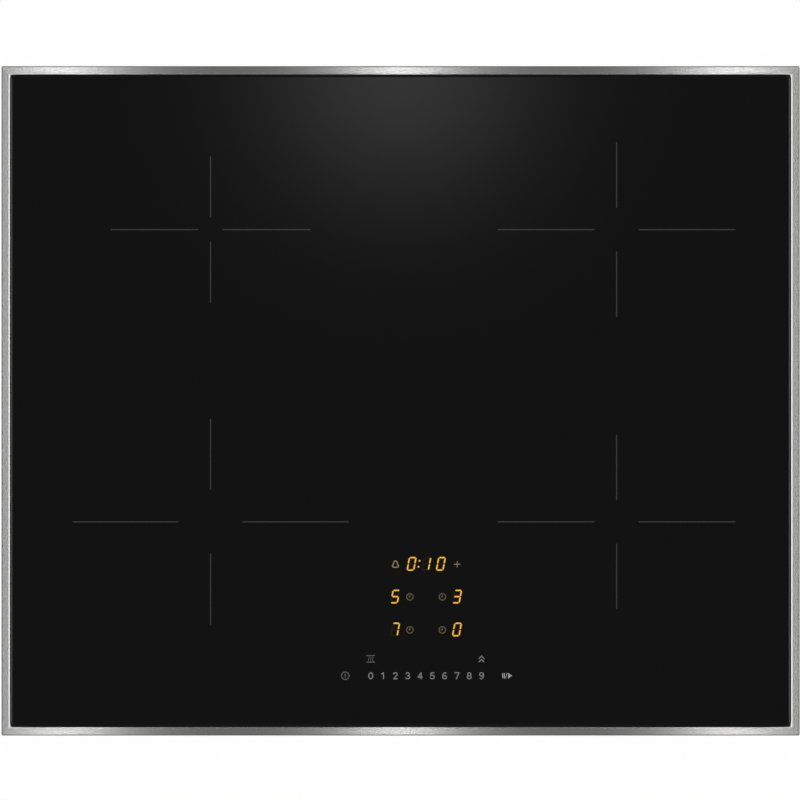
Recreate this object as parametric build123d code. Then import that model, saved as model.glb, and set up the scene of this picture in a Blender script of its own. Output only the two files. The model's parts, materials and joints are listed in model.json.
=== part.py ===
from build123d import *
import math
import os

# Built-in induction cooktop with four cooking zones. Sizes are in millimetres.
# +X is to the right, +Y to the rear and +Z up. The origin is under the middle of the casing's base.

# Trim frame: a folded stainless strip, with a raised rail round the glass and a ledge under it
FRAME_WIDTH = 614.0
FRAME_DEPTH = 515.0
RAIL_WIDTH = 6.8
RAIL_RISE = 0.6
RAIL_BEVEL = 1.2
RAIL_EDGE_RADIUS = 0.8
FRAME_SHEET = 0.8
FRAME_CORNER_RADIUS = 1.2
OPENING_CORNER_RADIUS = 0.5
LEDGE_OVERLAP = 4.0

# Glass top, its bonding bead and the foam seal under the frame
GLASS_THICKNESS = 4.0
GLASS_GAP = 1.2
GLASS_CORNER_RADIUS = 2.0
GLASS_BEVEL = 0.5
BOND_THICKNESS = 0.4
BOND_STEP = 1.0
BOND_CLEARANCE = 2.0
SEAL_THICKNESS = 1.0
SEAL_WIDTH = 9.0
SEAL_INSET = 2.0

# Base tray: folded steel sheet with an outward lip that is screwed up to the frame's ledge
SIDE_OVERHANG = 37.0
END_OVERHANG = 22.5
BUILT_IN_DEPTH = 44.2
TRAY_SHEET = 0.8
TRAY_LIP = 8.0
TRAY_CORNER_RADIUS = 4.0
TRAY_FOLD_RADIUS = 2.0
SWAGE_DEPTH = 1.0
SWAGE_WIDTH = 12.0
SWAGE_MARGIN = 35.0
SWAGE_PITCH = 40.0
SWAGE_COUNT = 3
SWAGE_CONTROL_GAP = 12.0
RATING_PLATE_WIDTH = 90.0
RATING_PLATE_DEPTH = 45.0
RATING_PLATE_THICKNESS = 0.4
RATING_PLATE_MARGIN = 2.0
RATING_PLATE_CONTROL_GAP = 172.0
SLOT_WIDTH = 4.0
SLOT_PITCH = 7.5
OUTLET_SLOT_HEIGHT = 24.0
OUTLET_SLOT_BASE = 9.0
OUTLET_COUNT = 20

# Screws, each a pan head on a plain shank
CASING_SCREW_RADIUS = 1.5
CASING_SCREW_HEAD_RADIUS = 2.8
CASING_SCREW_HEAD_HEIGHT = 1.8
SCREW_TIP = 0.2
SCREW_CLEARANCE = 0.1
SCREWS_PER_LONG_SIDE = 4
SCREWS_PER_SHORT_SIDE = 3
SCREW_CORNER_DISTANCE = 45.0

# Swivel clamps on lugs of the tray's side walls
CLAMP_CORNER_DISTANCE = 85.0
CLAMP_LUG_TOP = 9.0
CLAMP_LUG_THICKNESS = 1.5
CLAMP_LUG_REACH = 9.0
CLAMP_LUG_LENGTH = 18.0
CLAMP_ARM_LENGTH = 26.0
CLAMP_ARM_WIDTH = 8.4
CLAMP_ARM_THICKNESS = 2.0
CLAMP_TOOTH_HEIGHT = 2.4
CLAMP_PIVOT_OFFSET = 5.0
CLAMP_PLAY = 0.1
CLAMP_SCREW_RADIUS = 2.0
CLAMP_SCREW_HEAD_RADIUS = 3.6
CLAMP_SCREW_HEAD_HEIGHT = 2.4
CLAMP_SCREW_TAIL = 4.0
RUNNING_CLEARANCE = 0.05

# Terminal box in a notch of the tray's rear edge
BOX_WIDTH = 96.0
BOX_DEPTH = 57.0
BOX_HEIGHT = 33.4
BOX_WALL = 2.5
BOX_CLEARANCE = 0.3
BOX_FLANGE = 8.0
BOX_FLANGE_THICKNESS = 2.0
MOUTH_GLAND_GAP = 6.5
MOUTH_HEIGHT = 22.0
MOUTH_SIDE_WALL = 5.0
MOUTH_BASE = 4.0
WIRE_SLOT_WIDTH = 34.0
WIRE_SLOT_HEIGHT = 10.0

# Terminal lid, hung from a barrel with two stub pins in the box's ears
LID_OVERLAP = 2.5
LID_THICKNESS = 2.0
LID_GAP = 0.3
LID_TAB_WIDTH = 14.0
LID_TAB_HEIGHT = 1.2
HINGE_PIN_RADIUS = 1.5
HINGE_BARREL_RADIUS = 2.4
HINGE_OFFSET = 3.0
HINGE_DROP = 3.4
EAR_THICKNESS = 2.0
EAR_RADIUS = 3.0

# Cable gland beside the lid
GLAND_BORE_RADIUS = 6.5
GLAND_NECK_RADIUS = 10.0
GLAND_FLANGE_RADIUS = 13.0
GLAND_FLANGE_THICKNESS = 3.0
GLAND_LENGTH = 12.0
GLAND_NUT_THICKNESS = 3.0
GLAND_SIDE_DISTANCE = 18.5
GLAND_CLEARANCE = 0.1

# Terminal block, its screws and the wires to the filter board
TERMINAL_POLES = 5
TERMINAL_PITCH = 10.0
TERMINAL_DEPTH = 24.0
TERMINAL_HEIGHT = 19.0
TERMINAL_SETBACK = 3.0
TERMINAL_END = 1.0
TERMINAL_SCREW_RADIUS = 2.2
TERMINAL_SCREW_LENGTH = 7.0
TERMINAL_SCREW_RECESS = 1.0
TERMINAL_ENTRY_RADIUS = 2.4
TERMINAL_ENTRY_DEPTH = 9.0
TERMINAL_ENTRY_HEIGHT = 6.0
WIRE_RADIUS = 1.6
WIRE_COUNT = 3
WIRE_BEND_RADIUS = 8.0
WIRE_RUN = 26.0
WIRE_END_GAP = 0.3

# Earth stud on the tray's floor
EARTH_STUD_RADIUS = 2.0
EARTH_STUD_HEIGHT = 11.0
EARTH_NUT_RADIUS = 4.0
EARTH_NUT_HEIGHT = 3.2
EARTH_BESIDE_BOX = 16.0
EARTH_FROM_REAR = 22.0

# Cooking zones: each is the largest circle in its cell between the tray's walls and the control unit
ZONE_LEFT_WALL_GAP = 18.0
ZONE_LEFT_CONTROL_GAP = 24.9
ZONE_RIGHT_WALL_GAP = 13.0
ZONE_RIGHT_CONTROL_GAP = 20.5
ZONE_REAR_WALL_GAP = 12.5
ZONE_FRONT_WALL_GAP = 51.1
ZONE_ROW_GAP = 44.8
ZONE_LEFT_SHIFT = 30.0

# Coil stack under each zone, from the glass down
MICA_THICKNESS = 0.5
WINDING_HEIGHT = 3.6
WINDING_WIDTH = 3.0
WINDING_PITCH = 3.6
WINDING_INNER_RADIUS = 22.0
WINDING_MARGIN = 6.0
WINDING_GAP_LIMIT = 0.4
FORMER_THICKNESS = 1.5
FORMER_RIM = 3.0
FORMER_HOLE_RADIUS = 9.0
FERRITE_HEIGHT = 4.0
FERRITE_WIDTH = 12.0
FERRITE_INNER_RADIUS = 26.0
FERRITES_PER_ZONE = 8
SENSOR_RADIUS = 6.0
SENSOR_CLEARANCE = 0.1
SLEEVE_RADIUS = 1.7
SLEEVE_END_GAP = 0.3
SLEEVE_BEND_RADIUS = 8.0
SLEEVE_HOLE_RADIUS = 5.0
SLEEVE_FORMER_GAP = 6.0

# Coil plates on pillars
PLATE_THICKNESS = 1.5
PLATE_WALL_GAP = 4.2
PLATE_LEFT_CONTROL_GAP = 23.7
PLATE_RIGHT_CONTROL_GAP = 6.3
PLATE_FRONT_WALL_GAP = 26.2
PLATE_REAR_WALL_GAP = 14.2
PLATE_NOTCH_CLEARANCE = 2.0
PILLAR_RADIUS = 3.5
PILLAR_OUTER_INSET = 5.0
PILLAR_INNER_INSET = 16.0
PILLAR_END_INSET = 12.5
PILLAR_CONTROL_GAP = 25.0
PILLAR_BOX_GAP = 18.0

# Screws of the plates and boards
INNER_SCREW_RADIUS = 1.5
INNER_SCREW_HEAD_RADIUS = 2.6
INNER_SCREW_HEAD_HEIGHT = 1.6
INNER_SCREW_DEPTH = 4.0

# Circuit boards of the power stage
BOARD_THICKNESS = 1.6
BOARD_STANDOFF = 5.0
STANDOFF_RADIUS = 3.0
BOARD_PLATE_INSET = 11.0
BOARD_FAN_GAP = 18.0
BOARD_PILLAR_CLEARANCE = 6.5
BOARD_HOLE_INSET = 7.0
FILTER_BOARD_WIDTH = 96.0
FILTER_BOARD_CONTROL_GAP = 62.0
FILTER_BOARD_BOX_GAP = 10.0

# Parts on the boards
HEATSINK_WIDTH = 44.0
HEATSINK_HEIGHT = 22.0
HEATSINK_BASE = 4.0
HEATSINK_FIN = 2.0
HEATSINK_FINS = 7
HEATSINK_FRONT_INSET = 18.0
HEATSINK_FAN_GAP = 10.0
TRANSISTOR_SIZE = (5.0, 16.0, 17.0)
TRANSISTOR_LIFT = 3.0
TRANSISTOR_LEG = 1.2
TRANSISTOR_LEGS = 3
TRANSISTOR_LEG_PITCH = 5.0
TRANSISTOR_END_INSET = 20.0
TRANSISTOR_PITCH = 40.0
TRANSISTOR_COUNT = 5
CAPACITOR_SIZE = (24.0, 20.0, 22.0)
CAPACITOR_EDGE_RADIUS = 1.5
CAPACITOR_BOARD_INSET = 3.0
CAPACITOR_END_INSET = 58.0
CAPACITOR_PITCH = 30.0
CAPACITOR_COUNT = 4
CHOKE_OUTER_RADIUS = 15.0
CHOKE_INNER_RADIUS = 7.0
CHOKE_HEIGHT = 14.0
CHOKE_EDGE_RADIUS = 3.0
CHOKE_BOARD_INSET = 4.0
CHOKE_END_INSET = 50.0
FILTER_PART_OFFSET = 24.0
FILTER_CHOKE_INSET = 53.0
FILTER_CAPACITOR_INSETS = (98.0, 132.0)

# Blowers: an inlet over the tray's intake slots and an outlet that faces the heatsink
FAN_SIDE_WALL_GAP = 42.2
FAN_REAR_WALL_GAP = 32.2
FAN_HOUSING_SIZE = 104.0
FAN_HOUSING_HEIGHT = 28.6
FAN_HOUSING_RADIUS = 8.0
FAN_WALL = 1.6
FAN_CAVITY_WALL = 4.0
FAN_INLET_RIM = 12.0
FAN_OUTLET_WIDTH = 64.0
FAN_POST_RADIUS = 4.5
FAN_POST_LENGTH = 19.0
ROTOR_SIDE_GAP = 5.0
ROTOR_DISC_THICKNESS = 1.5
ROTOR_TOP_GAP = 1.8
ROTOR_BASE_GAP = 1.1
ROTOR_HUB_RADIUS = 17.5
ROTOR_HUB_WALL = 2.0
ROTOR_BLADES = 26
ROTOR_BLADE_THICKNESS = 1.2
ROTOR_BLADE_WIDTH = 11.0
ROTOR_BLADE_LEAN = 28.0
ROTOR_RING_WIDTH = 2.5
ROTOR_RING_HEIGHT = 2.0
SHAFT_RADIUS = 1.5
SHAFT_FIT = 0.02
BEARING_RADIUS = 3.0
BEARING_FIT = 0.02
STATOR_RADIUS = 14.5
STATOR_POST_FIT = 0.2
STATOR_HEIGHT = 12.0
STATOR_SLOTS = 6
STATOR_SLOT_WIDTH = 3.0
STATOR_BACK = 4.0

# Control unit behind the glass: a display field over a row of touch pads
CONTROL_X = 19.7
CONTROL_WALL_GAP = 10.2
CONTROL_FIELD_WIDTH = 68.0
CONTROL_FIELD_DEPTH = 78.0
CONTROL_ROW_WIDTH = 150.0
CONTROL_ROW_DEPTH = 34.0
CONTROL_BOARD_THICKNESS = 1.6
CARRIER_WALL = 1.5
CARRIER_GAP = 0.5
CARRIER_BOSS_HEIGHT = 2.0
CARRIER_BOSS_RADIUS = 3.0
CARRIER_RIM = 3.0
CARRIER_LEG_RADIUS = 4.0
CARRIER_LEG_INSET = 9.0
DISPLAY_HEIGHT = 8.0
DISPLAY_GLASS_GAP = 0.3
TIMER_DISPLAY_SIZE = (36.0, 15.0)
TIMER_ROW_INSET = 13.7
DIGIT_DISPLAY_SIZE = (10.5, 15.0)
DIGIT_ROW_INSETS = (38.8, 64.2)
DIGIT_COLUMN_OFFSET = 23.8
CLOCK_COLUMN_OFFSET = 12.5
SYMBOL_LIGHT_RADIUS = 3.2
TOUCH_PAD_RADIUS = 3.8
TOUCH_PAD_GLASS_GAP = 0.1
SLIDER_PADS = 10
SLIDER_PITCH = 9.47
SLIDER_ROW_INSET = 21.5
UPPER_PAD_ROW_INSET = 8.5
END_PAD_OFFSET = 62.2
RIBBON_WIDTH = 12.0
RIBBON_THICKNESS = 0.8
RIBBON_BEND_RADIUS = 5.0
RIBBON_TOP_INSET = 15.0
RIBBON_RUN = 40.0
RIBBON_LEVEL = 20.0
RIBBON_ROW_INSET = 9.0
RIBBON_END_GAP = 0.2
RIBBON_SLOT_MARGIN = 1.0

# Levels, from the base of the casing up to the top of the rail
FLOOR_TOP = TRAY_SHEET
WORKTOP = BUILT_IN_DEPTH
LEDGE_BASE = WORKTOP + SEAL_THICKNESS
LEDGE_TOP = LEDGE_BASE + FRAME_SHEET
GLASS_BASE = LEDGE_TOP + BOND_THICKNESS
GLASS_TOP = GLASS_BASE + GLASS_THICKNESS
RAIL_TOP = GLASS_TOP + RAIL_RISE
LIP_BASE = LEDGE_BASE - TRAY_SHEET
WINDING_TOP = GLASS_BASE - MICA_THICKNESS
WINDING_BASE = WINDING_TOP - WINDING_HEIGHT
FORMER_BASE = WINDING_BASE - FORMER_THICKNESS
PLATE_TOP = FORMER_BASE - FERRITE_HEIGHT
PLATE_BASE = PLATE_TOP - PLATE_THICKNESS
BOARD_BASE = FLOOR_TOP + BOARD_STANDOFF
BOARD_TOP = BOARD_BASE + BOARD_THICKNESS
CONTROL_BOARD_TOP = GLASS_BASE - DISPLAY_GLASS_GAP - DISPLAY_HEIGHT
CONTROL_BOARD_BASE = CONTROL_BOARD_TOP - CONTROL_BOARD_THICKNESS
CARRIER_FLOOR_TOP = CONTROL_BOARD_BASE - CARRIER_BOSS_HEIGHT
CARRIER_BASE = CARRIER_FLOOR_TOP - CARRIER_WALL
CARRIER_MARGIN = CARRIER_GAP + CARRIER_WALL

# Plan sizes that follow from the frame: glass, tray and the tray's inside
TRAY_WIDTH = FRAME_WIDTH - 2 * SIDE_OVERHANG
TRAY_DEPTH = FRAME_DEPTH - 2 * END_OVERHANG
SIDE_WALL = TRAY_WIDTH / 2 - TRAY_SHEET
END_WALL = TRAY_DEPTH / 2 - TRAY_SHEET
OPENING_WIDTH = FRAME_WIDTH - 2 * RAIL_WIDTH
OPENING_DEPTH = FRAME_DEPTH - 2 * RAIL_WIDTH
GLASS_WIDTH = OPENING_WIDTH - 2 * GLASS_GAP
GLASS_DEPTH = OPENING_DEPTH - 2 * GLASS_GAP
LEDGE_OPENING_WIDTH = TRAY_WIDTH - 2 * (TRAY_SHEET + LEDGE_OVERLAP)
LEDGE_OPENING_DEPTH = TRAY_DEPTH - 2 * (TRAY_SHEET + LEDGE_OVERLAP)
LIP_WIDTH = TRAY_WIDTH + 2 * TRAY_LIP
LIP_DEPTH = TRAY_DEPTH + 2 * TRAY_LIP
BOX_REAR_Y = TRAY_DEPTH / 2
BOX_FRONT_Y = BOX_REAR_Y - BOX_DEPTH
GLAND_X = BOX_WIDTH / 2 - GLAND_SIDE_DISTANCE
GLAND_Z = BOX_HEIGHT / 2
MOUTH_LEFT_X = MOUTH_SIDE_WALL - BOX_WIDTH / 2
MOUTH_RIGHT_X = GLAND_X - GLAND_FLANGE_RADIUS - MOUTH_GLAND_GAP
HINGE_Y = BOX_REAR_Y + HINGE_OFFSET
HINGE_Z = BOX_HEIGHT - HINGE_DROP
LID_LEFT_X = MOUTH_LEFT_X - LID_OVERLAP
LID_RIGHT_X = MOUTH_RIGHT_X + LID_OVERLAP
WIRE_LEVEL = BOX_HEIGHT / 2
TERMINAL_LEFT_X = MOUTH_LEFT_X + TERMINAL_END
TERMINAL_FRONT_Y = BOX_FRONT_Y + BOX_WALL + TERMINAL_SETBACK
TERMINAL_TOP = BOX_WALL + TERMINAL_HEIGHT
CLAMP_BASE = CLAMP_LUG_TOP + CLAMP_PLAY
CLAMP_TOP = CLAMP_BASE + CLAMP_ARM_THICKNESS
CLAMP_PIVOT_X = TRAY_WIDTH / 2 + CLAMP_PIVOT_OFFSET
CLAMP_PLACE_Y = TRAY_DEPTH / 2 - CLAMP_CORNER_DISTANCE

# Control unit, set back from the tray's front wall
CONTROL_ROW_BASE_Y = CONTROL_WALL_GAP - END_WALL
CONTROL_ROW_TOP_Y = CONTROL_ROW_BASE_Y + CONTROL_ROW_DEPTH
CONTROL_FIELD_TOP_Y = CONTROL_ROW_TOP_Y + CONTROL_FIELD_DEPTH
CONTROL_LEFT_X = CONTROL_X - CONTROL_FIELD_WIDTH / 2 - CARRIER_MARGIN
CONTROL_RIGHT_X = CONTROL_X + CONTROL_FIELD_WIDTH / 2 + CARRIER_MARGIN
TIMER_ROW_Y = CONTROL_FIELD_TOP_Y - TIMER_ROW_INSET
DIGIT_ROWS_Y = tuple(CONTROL_FIELD_TOP_Y - inset for inset in DIGIT_ROW_INSETS)
UPPER_PAD_ROW_Y = CONTROL_ROW_TOP_Y - UPPER_PAD_ROW_INSET
SLIDER_ROW_Y = CONTROL_ROW_TOP_Y - SLIDER_ROW_INSET
RIBBON_Y = CONTROL_ROW_TOP_Y - RIBBON_ROW_INSET
RATING_PLATE_Y = CONTROL_FIELD_TOP_Y + RATING_PLATE_CONTROL_GAP

# Zone cells: columns between the side walls and the control unit, rows between the end walls
LEFT_CELL = (ZONE_LEFT_WALL_GAP - SIDE_WALL, CONTROL_LEFT_X - ZONE_LEFT_CONTROL_GAP)
RIGHT_CELL = (CONTROL_RIGHT_X + ZONE_RIGHT_CONTROL_GAP, SIDE_WALL - ZONE_RIGHT_WALL_GAP)
CELL_DEPTH = (2 * END_WALL - ZONE_REAR_WALL_GAP - ZONE_FRONT_WALL_GAP - ZONE_ROW_GAP) / 2
ZONE_FRONT_Y = ZONE_FRONT_WALL_GAP - END_WALL + CELL_DEPTH / 2
ZONE_REAR_Y = END_WALL - ZONE_REAR_WALL_GAP - CELL_DEPTH / 2

# Coil plates, boards and blowers
PLATE_OUTER_X = SIDE_WALL - PLATE_WALL_GAP
PLATE_FRONT_Y = PLATE_FRONT_WALL_GAP - END_WALL
PLATE_REAR_Y = END_WALL - PLATE_REAR_WALL_GAP
PILLAR_MIDDLE_Y = (ZONE_FRONT_Y + ZONE_REAR_Y) / 2
FAN_CAVITY_RADIUS = FAN_HOUSING_SIZE / 2 - FAN_CAVITY_WALL
FAN_INLET_RADIUS = FAN_CAVITY_RADIUS - FAN_INLET_RIM
ROTOR_RADIUS = FAN_CAVITY_RADIUS - ROTOR_SIDE_GAP
FAN_X = SIDE_WALL - FAN_SIDE_WALL_GAP - FAN_HOUSING_SIZE / 2
FAN_Y = END_WALL - FAN_REAR_WALL_GAP - FAN_HOUSING_SIZE / 2
BOARD_OUTER_X = PLATE_OUTER_X - BOARD_PLATE_INSET
BOARD_FRONT_Y = PLATE_FRONT_Y
BOARD_REAR_Y = FAN_Y - FAN_HOUSING_SIZE / 2 - BOARD_FAN_GAP
HEATSINK_FRONT_Y = BOARD_FRONT_Y + HEATSINK_FRONT_INSET
FILTER_BOARD_FRONT_Y = CONTROL_FIELD_TOP_Y + FILTER_BOARD_CONTROL_GAP
FILTER_BOARD_REAR_Y = BOX_FRONT_Y - FILTER_BOARD_BOX_GAP

SIDES = {"left": -1, "right": 1}
CORNERS = {"front_left": (-1, -1), "rear_left": (-1, 1), "front_right": (1, -1), "rear_right": (1, 1)}
PLATE_INNER_X = {
    "left": CONTROL_LEFT_X - PLATE_LEFT_CONTROL_GAP,
    "right": CONTROL_RIGHT_X + PLATE_RIGHT_CONTROL_GAP,
}


def zone(side, end):
    """Centre and diameter of the zone in one cell; the left column gives its front zone more depth."""
    cell = LEFT_CELL if side < 0 else RIGHT_CELL
    shift = ZONE_LEFT_SHIFT if side < 0 else 0.0
    depth = CELL_DEPTH - end * shift
    return sum(cell) / 2, ZONE_FRONT_Y if end < 0 else ZONE_REAR_Y, min(cell[1] - cell[0], depth)


ZONES = {name: zone(*corner) for name, corner in CORNERS.items()}


def block(x_span, y_span, z_span, radius=0.0):
    """Upright block between pairs of limits, with rounded vertical edges when a radius is given."""
    width = x_span[1] - x_span[0]
    depth = y_span[1] - y_span[0]
    outline = RectangleRounded(width, depth, radius) if radius > 0 else Rectangle(width, depth)
    centre = Pos((x_span[0] + x_span[1]) / 2, (y_span[0] + y_span[1]) / 2, z_span[0])
    return centre * extrude(outline, z_span[1] - z_span[0])


def plate(width, depth, base, top, radius=0.0):
    """Flat plate centred on the vertical axis."""
    return block((-width / 2, width / 2), (-depth / 2, depth / 2), (base, top), radius)


def ring_plate(outer, inner, base, top):
    """Flat rectangular ring; outer and inner are each a width, a depth and a corner radius."""
    return plate(*outer[:2], base, top, outer[2]) - plate(*inner[:2], base, top, inner[2])


def post(x, y, base, top, radius):
    """Upright cylinder."""
    upright = (Align.CENTER, Align.CENTER, Align.MIN)
    return Pos(x, y, base) * Cylinder(radius, top - base, align=upright)


def rear_cylinder(x, z, front, rear, radius):
    """Cylinder along Y."""
    return Pos(x, rear, z) * Rot(90, 0, 0) * extrude(Circle(radius), rear - front)


def side_cylinder(y, z, left, right, radius):
    """Cylinder along X."""
    return Pos(left, y, z) * Rot(0, 90, 0) * extrude(Circle(radius), right - left)


def washer(x, y, base, top, outer, inner):
    """Upright round ring."""
    return post(x, y, base, top, outer) - post(x, y, base, top, inner)


def union(solids):
    """One solid from pieces that join."""
    first, *others = solids
    return first.fuse(*others)


def group(solids):
    """Separate solids that share one node."""
    return Compound([solid for shape in solids for solid in shape.solids()])


def opening_edges(ring, width, depth):
    """Top edges of a rectangular ring's opening."""
    reach_x = width / 2 + FRAME_SHEET / 2
    reach_y = depth / 2 + FRAME_SHEET / 2
    top_edges = ring.edges().group_by(Axis.Z)[-1]
    return top_edges.filter_by(lambda e: abs(e.center().X) < reach_x and abs(e.center().Y) < reach_y)


def spread(count, first, last):
    """Evenly spaced places from first to last."""
    return [first + (last - first) * i / (count - 1) for i in range(count)]


def casing_screw_places():
    """Screw places along the middle of the tray's lip."""
    x = (TRAY_WIDTH + TRAY_LIP) / 2
    y = (TRAY_DEPTH + TRAY_LIP) / 2
    reach_x = TRAY_WIDTH / 2 - SCREW_CORNER_DISTANCE
    reach_y = TRAY_DEPTH / 2 - SCREW_CORNER_DISTANCE
    along = [(px, end * y) for px in spread(SCREWS_PER_LONG_SIDE, -reach_x, reach_x) for end in (-1, 1)]
    across = [(side * x, py) for py in spread(SCREWS_PER_SHORT_SIDE, -reach_y, reach_y) for side in (-1, 1)]
    return along + across


def flange_screw_places():
    """Screw places on the terminal box's two floor flanges."""
    x = BOX_WIDTH / 2 + BOX_FLANGE / 2
    return [(side * x, (BOX_FRONT_Y + BOX_REAR_Y) / 2) for side in SIDES.values()]


def clamp_pivot(side, end):
    """Place of a clamp's pivot in plan."""
    return side * CLAMP_PIVOT_X, end * CLAMP_PLACE_Y


def pillar_places(side_name):
    """Places of the pillars under one coil plate."""
    side = SIDES[side_name]
    outer = side * (PLATE_OUTER_X - PILLAR_OUTER_INSET)
    inner = PLATE_INNER_X[side_name] + side * PILLAR_INNER_INSET
    outer_y = (PLATE_FRONT_Y + PILLAR_END_INSET, PILLAR_MIDDLE_Y, PLATE_REAR_Y - PILLAR_END_INSET)
    inner_y = (CONTROL_ROW_TOP_Y + PILLAR_CONTROL_GAP, PILLAR_MIDDLE_Y, BOX_FRONT_Y - PILLAR_BOX_GAP)
    return [(outer, y) for y in outer_y] + [(inner, y) for y in inner_y]


def board_span(side_name):
    """X limits of an inverter board, between the tray's wall and the inner pillars."""
    side = SIDES[side_name]
    pillar = PLATE_INNER_X[side_name] + side * PILLAR_INNER_INSET
    edge = pillar + side * (PILLAR_RADIUS + BOARD_PILLAR_CLEARANCE)
    return tuple(sorted((edge, side * BOARD_OUTER_X)))


def board_hole_places(x_span, y_span):
    """Four screw places near the corners of a board."""
    xs = (x_span[0] + BOARD_HOLE_INSET, x_span[1] - BOARD_HOLE_INSET)
    ys = (y_span[0] + BOARD_HOLE_INSET, y_span[1] - BOARD_HOLE_INSET)
    return [(x, y) for x in xs for y in ys]


def board_outlines():
    """Plan limits of the three boards on the tray's floor."""
    inverter_y = (BOARD_FRONT_Y, BOARD_REAR_Y)
    filter_x = (-FILTER_BOARD_WIDTH / 2, FILTER_BOARD_WIDTH / 2)
    return {
        "inverter_board_left": (board_span("left"), inverter_y),
        "inverter_board_right": (board_span("right"), inverter_y),
        "filter_board": (filter_x, (FILTER_BOARD_FRONT_Y, FILTER_BOARD_REAR_Y)),
    }


def zone_side(name):
    """Side of the hob that a zone is on."""
    return CORNERS[name][0]


def winding_turns(name):
    """Whole turns that fit between a zone's inner and outer radius."""
    outer = ZONES[name][2] / 2 - WINDING_MARGIN - WINDING_WIDTH / 2
    return int((outer - WINDING_INNER_RADIUS) / WINDING_PITCH)


def winding_end_radius(name):
    """Distance of the winding's outer end from the zone's centre."""
    half_turns = 2 * winding_turns(name)
    return WINDING_INNER_RADIUS + WINDING_PITCH * half_turns / 2


def sleeve_drop(name):
    """Place where a zone's lead sleeve goes down past the former to the inverter board."""
    x, y, diameter = ZONES[name]
    reach = winding_end_radius(name)
    clear = diameter / 2 + FORMER_RIM + SLEEVE_FORMER_GAP
    drop = y - math.sqrt(max(clear**2 - reach**2, 0.0))
    return x + zone_side(name) * reach, min(drop, BOARD_REAR_Y - SLEEVE_HOLE_RADIUS - BOARD_HOLE_INSET)


def control_outline(margin, base, top):
    """T-shaped prism of the control unit, grown by a margin."""
    half_field = CONTROL_FIELD_WIDTH / 2 + margin
    half_row = CONTROL_ROW_WIDTH / 2 + margin
    field_y = (CONTROL_ROW_TOP_Y - margin, CONTROL_FIELD_TOP_Y + margin)
    row_y = (CONTROL_ROW_BASE_Y - margin, CONTROL_ROW_TOP_Y + margin)
    field = block((CONTROL_X - half_field, CONTROL_X + half_field), field_y, (base, top))
    row = block((CONTROL_X - half_row, CONTROL_X + half_row), row_y, (base, top))
    return field + row


def trim_frame():
    """Raised rail with a rounded outer edge and an inner bevel, hollow below, and the ledge for the glass."""
    outer = (FRAME_WIDTH, FRAME_DEPTH, FRAME_CORNER_RADIUS)
    opening = (OPENING_WIDTH, OPENING_DEPTH, OPENING_CORNER_RADIUS)
    solid = plate(FRAME_WIDTH, FRAME_DEPTH, LEDGE_BASE, RAIL_TOP, FRAME_CORNER_RADIUS)
    solid = fillet(solid.edges().group_by(Axis.Z)[-1], RAIL_EDGE_RADIUS)
    rail = solid - plate(*opening[:2], LEDGE_BASE, RAIL_TOP, opening[2])
    rail = chamfer(opening_edges(rail, *opening[:2]), RAIL_BEVEL)
    inside = tuple(size - 2 * FRAME_SHEET for size in outer[:2]) + (outer[2] - FRAME_SHEET,)
    wall = tuple(size + 2 * FRAME_SHEET for size in opening[:2]) + (opening[2] + FRAME_SHEET,)
    hollow = ring_plate(inside, wall, LEDGE_BASE, RAIL_TOP - FRAME_SHEET)
    hollow_bevel = RAIL_BEVEL - FRAME_SHEET * (2 - math.sqrt(2))
    if hollow_bevel > 0:
        hollow = chamfer(opening_edges(hollow, *wall[:2]), hollow_bevel)
    ledge_opening = (LEDGE_OPENING_WIDTH, LEDGE_OPENING_DEPTH, TRAY_CORNER_RADIUS)
    ledge = ring_plate(wall, ledge_opening, LEDGE_BASE, LEDGE_TOP)
    holes = [
        post(x, y, LEDGE_BASE, LEDGE_TOP, CASING_SCREW_RADIUS + SCREW_CLEARANCE)
        for x, y in casing_screw_places()
    ]
    return rail - hollow + ledge - holes


def glass_top():
    """Flat glass plate with ground edges."""
    glass = plate(GLASS_WIDTH, GLASS_DEPTH, GLASS_BASE, GLASS_TOP, GLASS_CORNER_RADIUS)
    levels = glass.edges().group_by(Axis.Z)
    return chamfer(levels[0] + levels[-1], GLASS_BEVEL)


def glass_bond():
    """Bonding bead under the glass edge, turned up between the glass and the rail."""
    outer = (OPENING_WIDTH, OPENING_DEPTH, OPENING_CORNER_RADIUS)
    clear = 2 * BOND_CLEARANCE
    inner = (LIP_WIDTH + clear, LIP_DEPTH + clear, TRAY_CORNER_RADIUS)
    glass = (GLASS_WIDTH, GLASS_DEPTH, GLASS_CORNER_RADIUS)
    bed = ring_plate(outer, inner, LEDGE_TOP, GLASS_BASE)
    upright = ring_plate(outer, glass, GLASS_BASE, GLASS_TOP - BOND_STEP)
    return bed + upright


def worktop_seal():
    """Foam strip under the ledge that lies on the worktop."""
    outer = (FRAME_WIDTH - 2 * SEAL_INSET, FRAME_DEPTH - 2 * SEAL_INSET, 0.0)
    inner = (outer[0] - 2 * SEAL_WIDTH, outer[1] - 2 * SEAL_WIDTH, 0.0)
    return ring_plate(outer, inner, WORKTOP, LEDGE_BASE)


def swage_outlines():
    """Grooves pressed up into the tray's floor: stiffening lines and the rating plate's panel."""
    length = TRAY_WIDTH - 2 * SWAGE_MARGIN
    first = CONTROL_FIELD_TOP_Y + SWAGE_CONTROL_GAP
    places = [first + SWAGE_PITCH * i for i in range(SWAGE_COUNT)]
    lines = [(Pos(0, y), SlotOverall, (length, SWAGE_WIDTH)) for y in places]
    panel = (RATING_PLATE_WIDTH + 2 * RATING_PLATE_MARGIN, RATING_PLATE_DEPTH + 2 * RATING_PLATE_MARGIN)
    return lines + [(Pos(0, RATING_PLATE_Y), Rectangle, panel)]


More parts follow.
